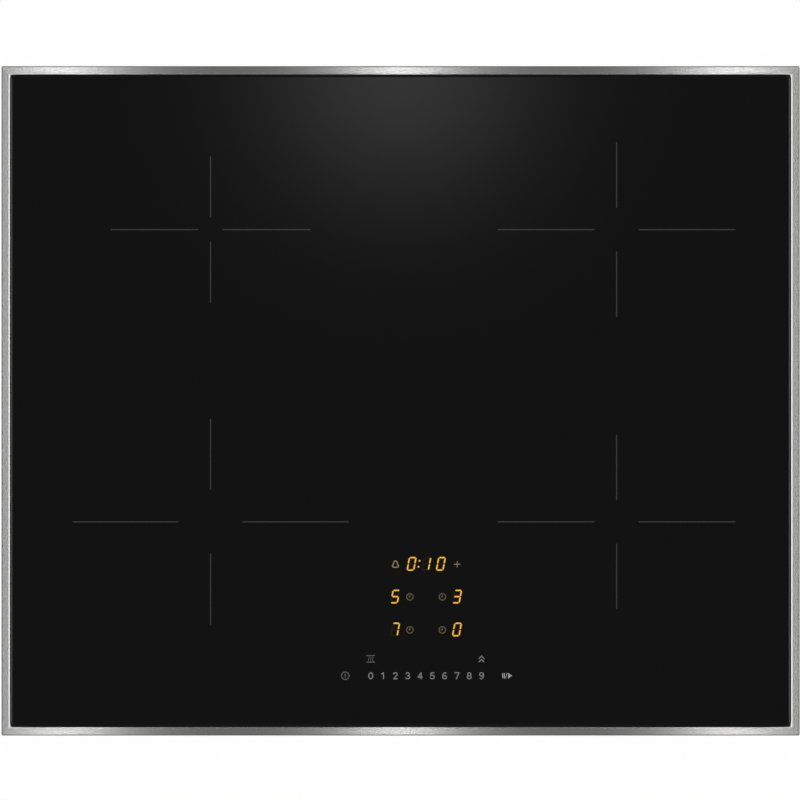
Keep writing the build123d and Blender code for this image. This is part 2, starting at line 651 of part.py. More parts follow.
def intake_slots(side):
    """Parallel slots in the tray's floor under one blower's inlet."""
    rows = int((FAN_INLET_RADIUS - SLOT_WIDTH) / SLOT_PITCH)
    slots = []
    for row in range(-rows, rows + 1):
        offset = row * SLOT_PITCH
        length = 2 * math.sqrt(FAN_INLET_RADIUS**2 - (abs(offset) + SLOT_WIDTH / 2) ** 2)
        slot = extrude(SlotOverall(length, SLOT_WIDTH), TRAY_SHEET)
        slots.append(Pos(side * FAN_X, FAN_Y + offset, 0) * slot)
    return slots


def outlet_slots(side):
    """Upright slots in the tray's front wall."""
    reach = (OUTLET_COUNT - 1) * SLOT_PITCH / 2
    slot = extrude(SlotOverall(OUTLET_SLOT_HEIGHT, SLOT_WIDTH, rotation=90), TRAY_SHEET)
    height = OUTLET_SLOT_BASE + OUTLET_SLOT_HEIGHT / 2
    wall = Rot(90, 0, 0) * slot
    middle = side * FAN_X
    places = spread(OUTLET_COUNT, middle - reach, middle + reach)
    return [Pos(x, TRAY_SHEET - TRAY_DEPTH / 2, height) * wall for x in places]


def clamp_lug(side, end):
    """Lug of the tray's side wall that carries a clamp."""
    wall = TRAY_WIDTH / 2 - TRAY_SHEET / 2
    x_span = tuple(sorted((side * wall, side * (TRAY_WIDTH / 2 + CLAMP_LUG_REACH))))
    y = end * CLAMP_PLACE_Y
    y_span = (y - CLAMP_LUG_LENGTH / 2, y + CLAMP_LUG_LENGTH / 2)
    lug = block(x_span, y_span, (CLAMP_LUG_TOP - CLAMP_LUG_THICKNESS, CLAMP_LUG_TOP))
    x, y = clamp_pivot(side, end)
    return lug - post(x, y, 0, CLAMP_LUG_TOP, CLAMP_SCREW_RADIUS + SCREW_CLEARANCE)


def base_tray():
    """Folded tray with a lip, vents, stiffening grooves, clamp lugs and a notch for the terminal box."""
    shell = plate(TRAY_WIDTH, TRAY_DEPTH, 0, LEDGE_BASE, TRAY_CORNER_RADIUS)
    shell = fillet(shell.edges().group_by(Axis.Z)[0], TRAY_FOLD_RADIUS)
    inside = (TRAY_WIDTH - 2 * TRAY_SHEET, TRAY_DEPTH - 2 * TRAY_SHEET)
    cavity = plate(*inside, FLOOR_TOP, LEDGE_BASE, TRAY_CORNER_RADIUS - TRAY_SHEET)
    cavity = fillet(cavity.edges().group_by(Axis.Z)[0], TRAY_FOLD_RADIUS - TRAY_SHEET)
    lip = plate(LIP_WIDTH, LIP_DEPTH, LIP_BASE, LEDGE_BASE, TRAY_CORNER_RADIUS + TRAY_LIP)
    ridges = [
        place * extrude(shape(size[0] + 2 * TRAY_SHEET, size[1] + 2 * TRAY_SHEET), FLOOR_TOP + SWAGE_DEPTH)
        for place, shape, size in swage_outlines()
    ]
    grooves = [place * extrude(shape(*size), SWAGE_DEPTH) for place, shape, size in swage_outlines()]
    lugs = [clamp_lug(*corner) for corner in CORNERS.values()]
    half_notch = BOX_WIDTH / 2 + BOX_CLEARANCE
    notch_y = (BOX_FRONT_Y - BOX_CLEARANCE, BOX_REAR_Y + TRAY_SHEET)
    notch = block((-half_notch, half_notch), notch_y, (0, BOX_HEIGHT + BOX_CLEARANCE))
    vents = [slot for side in SIDES.values() for slot in intake_slots(side) + outlet_slots(side)]
    hole_radius = CASING_SCREW_RADIUS + SCREW_CLEARANCE
    lip_holes = [post(x, y, LIP_BASE, LEDGE_BASE, hole_radius) for x, y in casing_screw_places()]
    floor_holes = [post(x, y, 0, FLOOR_TOP, hole_radius) for x, y in flange_screw_places()]
    return (shell + lip - cavity) + ridges - grooves + lugs - notch - vents - lip_holes - floor_holes


def pan_screw(x, y, head_base, tip, radius, head_radius, head_height):
    """Upright screw whose head starts at head_base, with its shank towards tip."""
    step = math.copysign(head_height, head_base - tip)
    head = post(x, y, *sorted((head_base, head_base + step)), head_radius)
    outer_edge = head.edges().group_by(Axis.Z)[0 if step < 0 else -1]
    head = fillet(outer_edge, head_height / 3)
    return head + post(x, y, *sorted((head_base, tip)), radius)


def casing_screws():
    """Screws of the tray's lip, from below, and of the terminal box's flanges, from above."""
    size = (CASING_SCREW_RADIUS, CASING_SCREW_HEAD_RADIUS, CASING_SCREW_HEAD_HEIGHT)
    lip = [pan_screw(x, y, LIP_BASE, LEDGE_TOP + SCREW_TIP, *size) for x, y in casing_screw_places()]
    flange_top = FLOOR_TOP + BOX_FLANGE_THICKNESS
    flange = [pan_screw(x, y, flange_top, SCREW_TIP, *size) for x, y in flange_screw_places()]
    return group(lip + flange)


def rating_plate():
    """Bare plate in its pressed panel under the tray."""
    x_span = (-RATING_PLATE_WIDTH / 2, RATING_PLATE_WIDTH / 2)
    y_span = (RATING_PLATE_Y - RATING_PLATE_DEPTH / 2, RATING_PLATE_Y + RATING_PLATE_DEPTH / 2)
    return block(x_span, y_span, (SWAGE_DEPTH - RATING_PLATE_THICKNESS, SWAGE_DEPTH), RATING_PLATE_MARGIN)


def clamp(side, end):
    """Flat arm with a round pivot end and an upturned tooth, lying along the wall towards the middle."""
    x, y = clamp_pivot(side, end)
    half = CLAMP_ARM_WIDTH / 2
    tip = y - end * (CLAMP_ARM_LENGTH + half)
    arm = block((x - half, x + half), sorted((y, tip)), (CLAMP_BASE, CLAMP_TOP))
    arm = arm + post(x, y, CLAMP_BASE, CLAMP_TOP, half)
    tooth_y = sorted((tip, tip + end * CLAMP_ARM_THICKNESS))
    tooth = block((x - half, x + half), tooth_y, (CLAMP_TOP, CLAMP_TOP + CLAMP_TOOTH_HEIGHT))
    return arm + tooth - post(x, y, CLAMP_BASE, CLAMP_TOP, CLAMP_SCREW_RADIUS + RUNNING_CLEARANCE)


def clamp_screws():
    """Pivot screws of the clamps."""
    head_base = CLAMP_TOP + CLAMP_PLAY
    tip = CLAMP_LUG_TOP - CLAMP_LUG_THICKNESS - CLAMP_SCREW_TAIL
    size = (CLAMP_SCREW_RADIUS, CLAMP_SCREW_HEAD_RADIUS, CLAMP_SCREW_HEAD_HEIGHT)
    places = [clamp_pivot(*corner) for corner in CORNERS.values()]
    return group(pan_screw(x, y, head_base, tip, *size) for x, y in places)


def hinge_ear(x_span):
    """Ear on the terminal box that holds one of the lid's pins."""
    foot_z = (HINGE_Z - EAR_RADIUS, HINGE_Z + EAR_RADIUS)
    foot = block(x_span, (BOX_REAR_Y - BOX_WALL / 2, HINGE_Y), foot_z)
    nose = side_cylinder(HINGE_Y, HINGE_Z, *x_span, EAR_RADIUS)
    return foot + nose - side_cylinder(HINGE_Y, HINGE_Z, *x_span, HINGE_PIN_RADIUS + RUNNING_CLEARANCE)


def ear_spans():
    """X limits of the two hinge ears, just outside the lid's ends."""
    left = (LID_LEFT_X - LID_GAP - EAR_THICKNESS, LID_LEFT_X - LID_GAP)
    right = (LID_RIGHT_X + LID_GAP, LID_RIGHT_X + LID_GAP + EAR_THICKNESS)
    return left, right


def terminal_box():
    """Wiring chamber with a wide mouth to the rear, a gland hole, a wire slot and two floor flanges."""
    half = BOX_WIDTH / 2
    shell = block((-half, half), (BOX_FRONT_Y, BOX_REAR_Y), (0, BOX_HEIGHT))
    chamber_x = (BOX_WALL - half, half - BOX_WALL)
    chamber_y = (BOX_FRONT_Y + BOX_WALL, BOX_REAR_Y - BOX_WALL)
    chamber = block(chamber_x, chamber_y, (BOX_WALL, BOX_HEIGHT - BOX_WALL))
    mouth_z = (MOUTH_BASE, MOUTH_BASE + MOUTH_HEIGHT)
    mouth = block((MOUTH_LEFT_X, MOUTH_RIGHT_X), (chamber_y[1], BOX_REAR_Y), mouth_z)
    gland_hole = rear_cylinder(
        GLAND_X, GLAND_Z, chamber_y[1], BOX_REAR_Y, GLAND_NECK_RADIUS + GLAND_CLEARANCE
    )
    slot_x = wire_middle_x()
    wire_x = (slot_x - WIRE_SLOT_WIDTH / 2, slot_x + WIRE_SLOT_WIDTH / 2)
    wire_z = (WIRE_LEVEL - WIRE_SLOT_HEIGHT / 2, WIRE_LEVEL + WIRE_SLOT_HEIGHT / 2)
    wire_slot = block(wire_x, (BOX_FRONT_Y, chamber_y[0]), wire_z)
    flange_y = (BOX_FRONT_Y, BOX_REAR_Y - TRAY_FOLD_RADIUS - TRAY_SHEET)
    flange_z = (FLOOR_TOP, FLOOR_TOP + BOX_FLANGE_THICKNESS)
    flanges = block((-half - BOX_FLANGE, half + BOX_FLANGE), flange_y, flange_z)
    hole_radius = CASING_SCREW_RADIUS + SCREW_CLEARANCE
    holes = [post(x, y, *flange_z, hole_radius) for x, y in flange_screw_places()]
    ears = [hinge_ear(span) for span in ear_spans()]
    return (shell + flanges - chamber) - mouth - gland_hole - wire_slot - holes + ears


def terminal_lid():
    """Flat lid over the mouth, with its hinge barrel, stub pins and a finger tab."""
    x_span = (LID_LEFT_X, LID_RIGHT_X)
    inner_y = BOX_REAR_Y + LID_GAP
    y_span = (inner_y, inner_y + LID_THICKNESS)
    base = MOUTH_BASE - LID_OVERLAP
    panel = block(x_span, y_span, (base, HINGE_Z))
    barrel = side_cylinder(HINGE_Y, HINGE_Z, *x_span, HINGE_BARREL_RADIUS)
    pins = side_cylinder(
        HINGE_Y, HINGE_Z, LID_LEFT_X - LID_GAP - EAR_THICKNESS, LID_RIGHT_X + LID_GAP + EAR_THICKNESS,
        HINGE_PIN_RADIUS,
    )
    middle = (LID_LEFT_X + LID_RIGHT_X) / 2
    tab_x = (middle - LID_TAB_WIDTH / 2, middle + LID_TAB_WIDTH / 2)
    tab_y = (inner_y, inner_y + 2 * LID_THICKNESS)
    tab = block(tab_x, tab_y, (base, base + LID_TAB_HEIGHT))
    return panel + barrel + pins + tab


def cable_gland():
    """Flanged sleeve with the cable's bore."""
    rear = BOX_REAR_Y + GLAND_FLANGE_THICKNESS
    flange = rear_cylinder(GLAND_X, GLAND_Z, BOX_REAR_Y, rear, GLAND_FLANGE_RADIUS)
    flange = chamfer(flange.edges().group_by(Axis.Y)[-1], GLAND_FLANGE_THICKNESS / 3)
    neck = rear_cylinder(GLAND_X, GLAND_Z, rear - GLAND_LENGTH, BOX_REAR_Y, GLAND_NECK_RADIUS)
    return flange + neck - rear_cylinder(GLAND_X, GLAND_Z, rear - GLAND_LENGTH, rear, GLAND_BORE_RADIUS)


def gland_nut():
    """Hexagon nut that holds the gland from inside the box."""
    wall = BOX_REAR_Y - BOX_WALL
    hexagon = extrude(RegularPolygon(GLAND_FLANGE_RADIUS, 6), GLAND_NUT_THICKNESS)
    nut = Pos(GLAND_X, wall, GLAND_Z) * Rot(90, 0, 0) * hexagon
    hole_radius = GLAND_NECK_RADIUS + GLAND_CLEARANCE
    return nut - rear_cylinder(GLAND_X, GLAND_Z, wall - GLAND_NUT_THICKNESS, wall, hole_radius)


def terminal_places():
    """X of each pole of the terminal block."""
    return [TERMINAL_LEFT_X + TERMINAL_PITCH * (i + 0.5) for i in range(TERMINAL_POLES)]


def wire_middle_x():
    """X of the middle of the wires that leave the terminal block."""
    places = terminal_places()[:WIRE_COUNT]
    return (places[0] + places[-1]) / 2


def terminal_block():
    """Moulded block with screw wells on top and wire entries at the rear."""
    right = TERMINAL_LEFT_X + TERMINAL_POLES * TERMINAL_PITCH
    rear = TERMINAL_FRONT_Y + TERMINAL_DEPTH
    body = block((TERMINAL_LEFT_X, right), (TERMINAL_FRONT_Y, rear), (BOX_WALL, TERMINAL_TOP))
    middle = (TERMINAL_FRONT_Y + rear) / 2
    well_base = TERMINAL_TOP - TERMINAL_SCREW_RECESS - TERMINAL_SCREW_LENGTH
    well_radius = TERMINAL_SCREW_RADIUS + SCREW_CLEARANCE
    wells = [post(x, middle, well_base, TERMINAL_TOP, well_radius) for x in terminal_places()]
    entry_z = BOX_WALL + TERMINAL_ENTRY_HEIGHT
    entries = [
        rear_cylinder(x, entry_z, rear - TERMINAL_ENTRY_DEPTH, rear, TERMINAL_ENTRY_RADIUS)
        for x in terminal_places()
    ]
    return body - wells - entries


def terminal_screws():
    """Slotted screws in the terminal block's wells."""
    middle = TERMINAL_FRONT_Y + TERMINAL_DEPTH / 2
    top = TERMINAL_TOP - TERMINAL_SCREW_RECESS
    screws = []
    for x in terminal_places():
        screw = post(x, middle, top - TERMINAL_SCREW_LENGTH, top, TERMINAL_SCREW_RADIUS)
        slot_x = (x - TERMINAL_SCREW_RADIUS, x + TERMINAL_SCREW_RADIUS)
        half_slot = TERMINAL_SCREW_RADIUS / 6
        slot_z = (top - TERMINAL_SCREW_RECESS, top)
        screws.append(screw - block(slot_x, (middle - half_slot, middle + half_slot), slot_z))
    return group(screws)


def bent_tube(points, bend_radius, radius):
    """Round tube along straight runs joined by arcs."""
    path = FilletPolyline(*points, radius=bend_radius)
    section = Plane(origin=path @ 0, z_dir=path % 0) * Circle(radius)
    return sweep(section, path=path)


def mains_wires():
    """Wires from the terminal block, through the box's slot, down to the filter board."""
    start = TERMINAL_FRONT_Y - WIRE_END_GAP
    end = start - WIRE_RUN
    wires = []
    for x in terminal_places()[:WIRE_COUNT]:
        points = [(x, start, WIRE_LEVEL), (x, end, WIRE_LEVEL), (x, end, BOARD_TOP + WIRE_END_GAP)]
        wires.append(bent_tube(points, WIRE_BEND_RADIUS, WIRE_RADIUS))
    return group(wires)


def earth_stud():
    """Stud on the tray's floor with its nut."""
    x = BOX_WIDTH / 2 + BOX_FLANGE + EARTH_BESIDE_BOX
    y = TRAY_DEPTH / 2 - EARTH_FROM_REAR
    stud = post(x, y, FLOOR_TOP, FLOOR_TOP + EARTH_STUD_HEIGHT, EARTH_STUD_RADIUS)
    nut = Pos(x, y, FLOOR_TOP) * extrude(RegularPolygon(EARTH_NUT_RADIUS, 6), EARTH_NUT_HEIGHT)
    bore = post(x, y, FLOOR_TOP, FLOOR_TOP + EARTH_NUT_HEIGHT, EARTH_STUD_RADIUS + SCREW_CLEARANCE)
    return group([stud, nut - bore])


def coil_winding(name):
    """Flat spiral of half turns that ends on the outer side, heading to the front."""
    x, y, _ = ZONES[name]
    half = WINDING_WIDTH / 2
    half_turns = []
    for k in range(2 * winding_turns(name)):
        centre = (WINDING_PITCH / 2 * (k % 2), 0)
        start_angle = 180 * (k % 2)
        half_turns.append((centre, WINDING_INNER_RADIUS + WINDING_PITCH / 2 * k, start_angle))
    outer = [CenterArc(centre, radius + half, angle, -180) for centre, radius, angle in half_turns]
    inner = [CenterArc(centre, radius - half, angle, -180) for centre, radius, angle in half_turns]
    start_cap = Line(inner[0] @ 0, outer[0] @ 0)
    end_cap = Line(inner[-1] @ 1, outer[-1] @ 1)
    outline = Face(Wire([start_cap] + outer + [end_cap] + inner))
    spiral = extrude(outline, WINDING_HEIGHT, dir=(0, 0, 1))
    if zone_side(name) < 0:
        spiral = mirror(spiral, about=Plane.YZ)
    inner_points = [arc @ (i / 12) for arc in inner[2:] for i in range(13)]
    outer_points = [arc @ (i / 12) for arc in outer[:-2] for i in range(13)]
    gap = min((a - b).length for a, b in zip(inner_points, outer_points))
    print(f"{name} winding: {winding_turns(name)} turns, least gap {gap:.2f} mm")
    if gap < WINDING_GAP_LIMIT:
        print(f"{name} winding: turns are closer than {WINDING_GAP_LIMIT} mm")
    return Pos(x, y, WINDING_BASE) * spiral


def coil_former(name):
    """Disc that carries a winding, with a hole for the sensor."""
    x, y, diameter = ZONES[name]
    radius = diameter / 2 + FORMER_RIM
    return washer(x, y, FORMER_BASE, WINDING_BASE, radius, FORMER_HOLE_RADIUS)


def ferrite_bars():
    """Radial bars between the coil plates and the formers."""
    bars = []
    for x, y, diameter in ZONES.values():
        span = (FERRITE_INNER_RADIUS, diameter / 2 - WINDING_MARGIN)
        bar = block(span, (-FERRITE_WIDTH / 2, FERRITE_WIDTH / 2), (PLATE_TOP, FORMER_BASE))
        for i in range(FERRITES_PER_ZONE):
            bars.append(Pos(x, y, 0) * Rot(0, 0, 360 * (i + 0.5) / FERRITES_PER_ZONE) * bar)
    return group(bars)


def mica_sheets():
    """Insulating sheets between the windings and the glass."""
    return group(
        washer(x, y, WINDING_TOP, GLASS_BASE, diameter / 2, FORMER_HOLE_RADIUS)
        for x, y, diameter in ZONES.values()
    )


def heat_sensors():
    """Sensors on the coil plates that reach up to the glass in the middle of each zone."""
    top = GLASS_BASE - SENSOR_CLEARANCE
    return group(post(x, y, PLATE_TOP, top, SENSOR_RADIUS) for x, y, _ in ZONES.values())


def coil_sleeves():
    """Sleeves with the leads of each winding, along the plate and down to the inverter board."""
    level = (WINDING_BASE + WINDING_TOP) / 2
    sleeves = []
    for name in ZONES:
        x, drop_y = sleeve_drop(name)
        start = (x, ZONES[name][1] - SLEEVE_END_GAP, level)
        points = [start, (x, drop_y, level), (x, drop_y, BOARD_TOP + SLEEVE_END_GAP)]
        sleeves.append(bent_tube(points, SLEEVE_BEND_RADIUS, SLEEVE_RADIUS))
    return group(sleeves)


def coil_plate(side_name):
    """Aluminium plate under the two coils of one side, notched beside the control unit."""
    inner = PLATE_INNER_X[side_name]
    x_span = tuple(sorted((inner, SIDES[side_name] * PLATE_OUTER_X)))
    levels = (PLATE_BASE, PLATE_TOP)
    base = block(x_span, (PLATE_FRONT_Y, PLATE_REAR_Y), levels)
    notch = control_outline(CARRIER_MARGIN + PLATE_NOTCH_CLEARANCE, *levels)
    names = [name for name in ZONES if zone_side(name) == SIDES[side_name]]
    sleeve_holes = [post(*sleeve_drop(name), *levels, SLEEVE_HOLE_RADIUS) for name in names]
    hole_radius = INNER_SCREW_RADIUS + SCREW_CLEARANCE
    screw_holes = [post(x, y, *levels, hole_radius) for x, y in pillar_places(side_name)]
    return base - notch - sleeve_holes - screw_holes


def plate_pillars():
    """Pillars between the tray's floor and the coil plates, each bored for its screw."""
    hole_radius = INNER_SCREW_RADIUS + SCREW_CLEARANCE
    hole_base = PLATE_BASE - INNER_SCREW_DEPTH
    return group(
        post(x, y, FLOOR_TOP, PLATE_BASE, PILLAR_RADIUS) - post(x, y, hole_base, PLATE_BASE, hole_radius)
        for side_name in SIDES
        for x, y in pillar_places(side_name)
    )


def inner_screws():
    """Screws of the coil plates and of the boards."""
    size = (INNER_SCREW_RADIUS, INNER_SCREW_HEAD_RADIUS, INNER_SCREW_HEAD_HEIGHT)
    screws = [
        pan_screw(x, y, PLATE_TOP, PLATE_BASE - INNER_SCREW_DEPTH + SCREW_TIP, *size)
        for side_name in SIDES
        for x, y in pillar_places(side_name)
    ]
    for outline in board_outlines().values():
        for x, y in board_hole_places(*outline):
            screws.append(pan_screw(x, y, BOARD_TOP, BOARD_BASE - INNER_SCREW_DEPTH + SCREW_TIP, *size))
    return group(screws)


def board_standoffs():
    """Standoffs under the boards, each bored for its screw."""
    hole_radius = INNER_SCREW_RADIUS + SCREW_CLEARANCE
    hole_base = BOARD_BASE - INNER_SCREW_DEPTH
    return group(
        post(x, y, FLOOR_TOP, BOARD_BASE, STANDOFF_RADIUS) - post(x, y, hole_base, BOARD_BASE, hole_radius)
        for outline in board_outlines().values()
        for x, y in board_hole_places(*outline)
    )


def circuit_board(name):
    """Flat board with its four screw holes."""
    x_span, y_span = board_outlines()[name]
    hole_radius = INNER_SCREW_RADIUS + SCREW_CLEARANCE
    holes = [post(x, y, BOARD_BASE, BOARD_TOP, hole_radius) for x, y in board_hole_places(x_span, y_span)]
    return block(x_span, y_span, (BOARD_BASE, BOARD_TOP)) - holes


def heatsink_rear():
    """Y of the heatsinks' rear end, in front of the blowers' outlets."""
    return FAN_Y - FAN_HOUSING_SIZE / 2 - HEATSINK_FAN_GAP


def heatsink(side):
    """Comb of fins along the air's way."""
    x = side * FAN_X
    y_span = (HEATSINK_FRONT_Y, heatsink_rear())
    half = HEATSINK_WIDTH / 2
    base_top = BOARD_TOP + HEATSINK_BASE
    base = block((x - half, x + half), y_span, (BOARD_TOP, base_top))
    fin_reach = half - HEATSINK_FIN / 2
    fins = [
        block((fx - HEATSINK_FIN / 2, fx + HEATSINK_FIN / 2), y_span, (base_top, BOARD_TOP + HEATSINK_HEIGHT))
        for fx in spread(HEATSINK_FINS, x - fin_reach, x + fin_reach)
    ]
    return union([base] + fins)


def transistor(side, y):
    """Flat package against the heatsink's inner side, on three legs."""
    depth, width, height = TRANSISTOR_SIZE
    face = side * (FAN_X - HEATSINK_WIDTH / 2)
    x_span = tuple(sorted((face, face - side * depth)))
    base = BOARD_TOP + TRANSISTOR_LIFT
    body = block(x_span, (y - width / 2, y + width / 2), (base, base + height))
    middle = face - side * depth / 2
    half_leg = TRANSISTOR_LEG / 2
    reach = TRANSISTOR_LEG_PITCH * (TRANSISTOR_LEGS - 1) / 2
    legs = [
        block((middle - half_leg, middle + half_leg), (ly - half_leg, ly + half_leg), (BOARD_TOP, base))
        for ly in spread(TRANSISTOR_LEGS, y - reach, y + reach)
    ]
    return union([body] + legs)


def power_transistors():
    """Transistors and rectifiers along both heatsinks."""
    first = HEATSINK_FRONT_Y + TRANSISTOR_END_INSET
    places = [first + TRANSISTOR_PITCH * i for i in range(TRANSISTOR_COUNT)]
    return group(transistor(side, y) for side in SIDES.values() for y in places)


def board_part_x(side_name, inset):
    """X of a part on an inverter board, set back from the edge towards the middle of the hob."""
    side = SIDES[side_name]
    edge = min(board_span(side_name), key=abs)
    return edge + side * inset


def film_capacitors():
    """Box capacitors of both inverter boards and of the filter board."""
    width, depth, height = CAPACITOR_SIZE
    body = plate(width, depth, BOARD_TOP, BOARD_TOP + height, CAPACITOR_EDGE_RADIUS)
    first = BOARD_FRONT_Y + CAPACITOR_END_INSET
    rows = [first + CAPACITOR_PITCH * i for i in range(CAPACITOR_COUNT)]
    inset = CAPACITOR_BOARD_INSET + width / 2
    inverter = [(board_part_x(side_name, inset), y) for side_name in SIDES for y in rows]
    filter_rows = [FILTER_BOARD_REAR_Y - filter_inset for filter_inset in FILTER_CAPACITOR_INSETS]
    mains = [(side * FILTER_PART_OFFSET, y) for side in SIDES.values() for y in filter_rows]
    return group(Pos(x, y, 0) * body for x, y in inverter + mains)


def chokes():
    """Wound ring chokes of the boards."""
    ring = washer(0, 0, BOARD_TOP, BOARD_TOP + CHOKE_HEIGHT, CHOKE_OUTER_RADIUS, CHOKE_INNER_RADIUS)
    levels = ring.edges().filter_by(GeomType.CIRCLE)
    ring = fillet(levels, CHOKE_EDGE_RADIUS)
    inset = CHOKE_BOARD_INSET + CHOKE_OUTER_RADIUS
    inverter_y = BOARD_REAR_Y - CHOKE_END_INSET
    inverter = [(board_part_x(side_name, inset), inverter_y) for side_name in SIDES]
    filter_y = FILTER_BOARD_REAR_Y - FILTER_CHOKE_INSET
    mains = [(side * FILTER_PART_OFFSET, filter_y) for side in SIDES.values()]
    return group(Pos(x, y, 0) * ring for x, y in inverter + mains)


def fan_levels():
    """Levels of a blower: cavity floor, cavity ceiling and top."""
    top = FLOOR_TOP + FAN_HOUSING_HEIGHT
    return FLOOR_TOP + FAN_WALL, top - FAN_WALL, top


def fan_housing(side):
    """Square housing with a round chamber, an inlet below, an outlet to the front and a bearing post."""
    x = side * FAN_X
    floor, ceiling, top = fan_levels()
    half = FAN_HOUSING_SIZE / 2
    y_span = (FAN_Y - half, FAN_Y + half)
    shell = block((x - half, x + half), y_span, (FLOOR_TOP, top), FAN_HOUSING_RADIUS)
    chamber = post(x, FAN_Y, floor, ceiling, FAN_CAVITY_RADIUS)
    outlet_x = (x - FAN_OUTLET_WIDTH / 2, x + FAN_OUTLET_WIDTH / 2)
    outlet = block(outlet_x, (y_span[0], FAN_Y), (floor, ceiling))
    inlet = post(x, FAN_Y, FLOOR_TOP, floor, FAN_INLET_RADIUS)
    base = ceiling - FAN_POST_LENGTH
    bearing_post = washer(x, FAN_Y, base, ceiling, FAN_POST_RADIUS, BEARING_RADIUS + BEARING_FIT)
    return shell - chamber - outlet - inlet + bearing_post


def rotor_levels():
    """Levels of a rotor: underside, hub floor, disc and top."""
    floor, ceiling, _ = fan_levels()
    base = floor + ROTOR_BASE_GAP
    top = ceiling - ROTOR_TOP_GAP
    return base, base + ROTOR_HUB_WALL, top - ROTOR_DISC_THICKNESS, top


def fan_rotor(side):
    """Hub cup, disc, leaning blades and end ring of a blower."""
    x = side * FAN_X
    base, hub_floor, disc, top = rotor_levels()
    cup = washer(x, FAN_Y, base, top, ROTOR_HUB_RADIUS, ROTOR_HUB_RADIUS - ROTOR_HUB_WALL)
    cup_floor = washer(x, FAN_Y, base, hub_floor, ROTOR_HUB_RADIUS, SHAFT_RADIUS + SHAFT_FIT)
    back = washer(x, FAN_Y, disc, top, ROTOR_RADIUS, ROTOR_HUB_RADIUS - ROTOR_HUB_WALL)
    ring = washer(x, FAN_Y, base, base + ROTOR_RING_HEIGHT, ROTOR_RADIUS, ROTOR_RADIUS - ROTOR_RING_WIDTH)
    half = ROTOR_BLADE_THICKNESS / 2
    vane = Rot(0, 0, ROTOR_BLADE_LEAN) * block((-ROTOR_BLADE_WIDTH, 0), (-half, half), (base, disc))
    reach = ROTOR_RADIUS - ROTOR_BLADE_THICKNESS
    blades = [
        Pos(x, FAN_Y, 0) * Rot(0, 0, 360 * i / ROTOR_BLADES) * Pos(reach, 0, 0) * vane
        for i in range(ROTOR_BLADES)
    ]
    return union([cup, cup_floor, back, ring] + blades)


def fan_shaft(side):
    """Steel shaft from the hub's floor up into the bearing."""
    base, _, _, _ = rotor_levels()
    _, ceiling, _ = fan_levels()
    return post(side * FAN_X, FAN_Y, base, ceiling - ROTOR_TOP_GAP, SHAFT_RADIUS)


def fan_bearings():
    """Bushes in the blowers' posts."""
    _, ceiling, _ = fan_levels()
    size = (BEARING_RADIUS, SHAFT_RADIUS + RUNNING_CLEARANCE)
    levels = (ceiling - FAN_POST_LENGTH, ceiling)
    return group(washer(side * FAN_X, FAN_Y, *levels, *size) for side in SIDES.values())


def fan_stators():
    """Slotted stators round the blowers' posts."""
    _, hub_floor, disc, _ = rotor_levels()
    middle = (hub_floor + disc) / 2
    levels = (middle - STATOR_HEIGHT / 2, middle + STATOR_HEIGHT / 2)
    stators = []
    for side in SIDES.values():
        ring = washer(side * FAN_X, FAN_Y, *levels, STATOR_RADIUS, FAN_POST_RADIUS + STATOR_POST_FIT)
        slot_x = (FAN_POST_RADIUS + STATOR_BACK, STATOR_RADIUS)
        slot = block(slot_x, (-STATOR_SLOT_WIDTH / 2, STATOR_SLOT_WIDTH / 2), levels)
        slots = [
            Pos(side * FAN_X, FAN_Y, 0) * Rot(0, 0, 360 * i / STATOR_SLOTS) * slot
            for i in range(STATOR_SLOTS)
        ]
        stators.append(ring - slots)
    return group(stators)


def carrier_leg_places():
    """Places of the carrier's legs and bosses."""
    field = CONTROL_FIELD_WIDTH / 2 - CARRIER_LEG_INSET
    row = CONTROL_ROW_WIDTH / 2 - CARRIER_LEG_INSET
    field_y = CONTROL_FIELD_TOP_Y - CARRIER_LEG_INSET
    row_y = CONTROL_ROW_BASE_Y + CARRIER_LEG_INSET
    return [(CONTROL_X + side * reach, y) for side in (-1, 1) for reach, y in ((field, field_y), (row, row_y))]


def ribbon_places():
    """X of the ribbon's upper end under the touch board and of its lower end over the left board."""
    upper = CONTROL_X - CONTROL_ROW_WIDTH / 2 + RIBBON_TOP_INSET
    return upper, upper - RIBBON_RUN


def control_carrier():
    """T-shaped plastic tray on four legs, with bosses for the touch board and a slot for the ribbon."""
    rim = CONTROL_BOARD_TOP + CARRIER_RIM
    tray = control_outline(CARRIER_MARGIN, CARRIER_BASE, rim)
    tray = tray - control_outline(CARRIER_GAP, CARRIER_FLOOR_TOP, rim)
    places = carrier_leg_places()
    legs = [post(x, y, FLOOR_TOP, CARRIER_BASE, CARRIER_LEG_RADIUS) for x, y in places]
    bosses = [post(x, y, CARRIER_FLOOR_TOP, CONTROL_BOARD_BASE, CARRIER_BOSS_RADIUS) for x, y in places]
    ribbon_x, _ = ribbon_places()
    half = RIBBON_THICKNESS / 2 + RIBBON_SLOT_MARGIN
    half_width = RIBBON_WIDTH / 2 + RIBBON_SLOT_MARGIN
    slot_y = (RIBBON_Y - half_width, RIBBON_Y + half_width)
    slot = block((ribbon_x - half, ribbon_x + half), slot_y, (CARRIER_BASE, CARRIER_FLOOR_TOP))
    return union([tray - slot] + legs + bosses)


def touch_board():
    """T-shaped board of the control unit."""
    return control_outline(0.0, CONTROL_BOARD_BASE, CONTROL_BOARD_TOP)


def zone_column_places(offset):
    """Places of the zones' displays or clock lights, either side of the control's middle line."""
    return [(CONTROL_X + side * offset, y) for y in DIGIT_ROWS_Y for side in (-1, 1)]


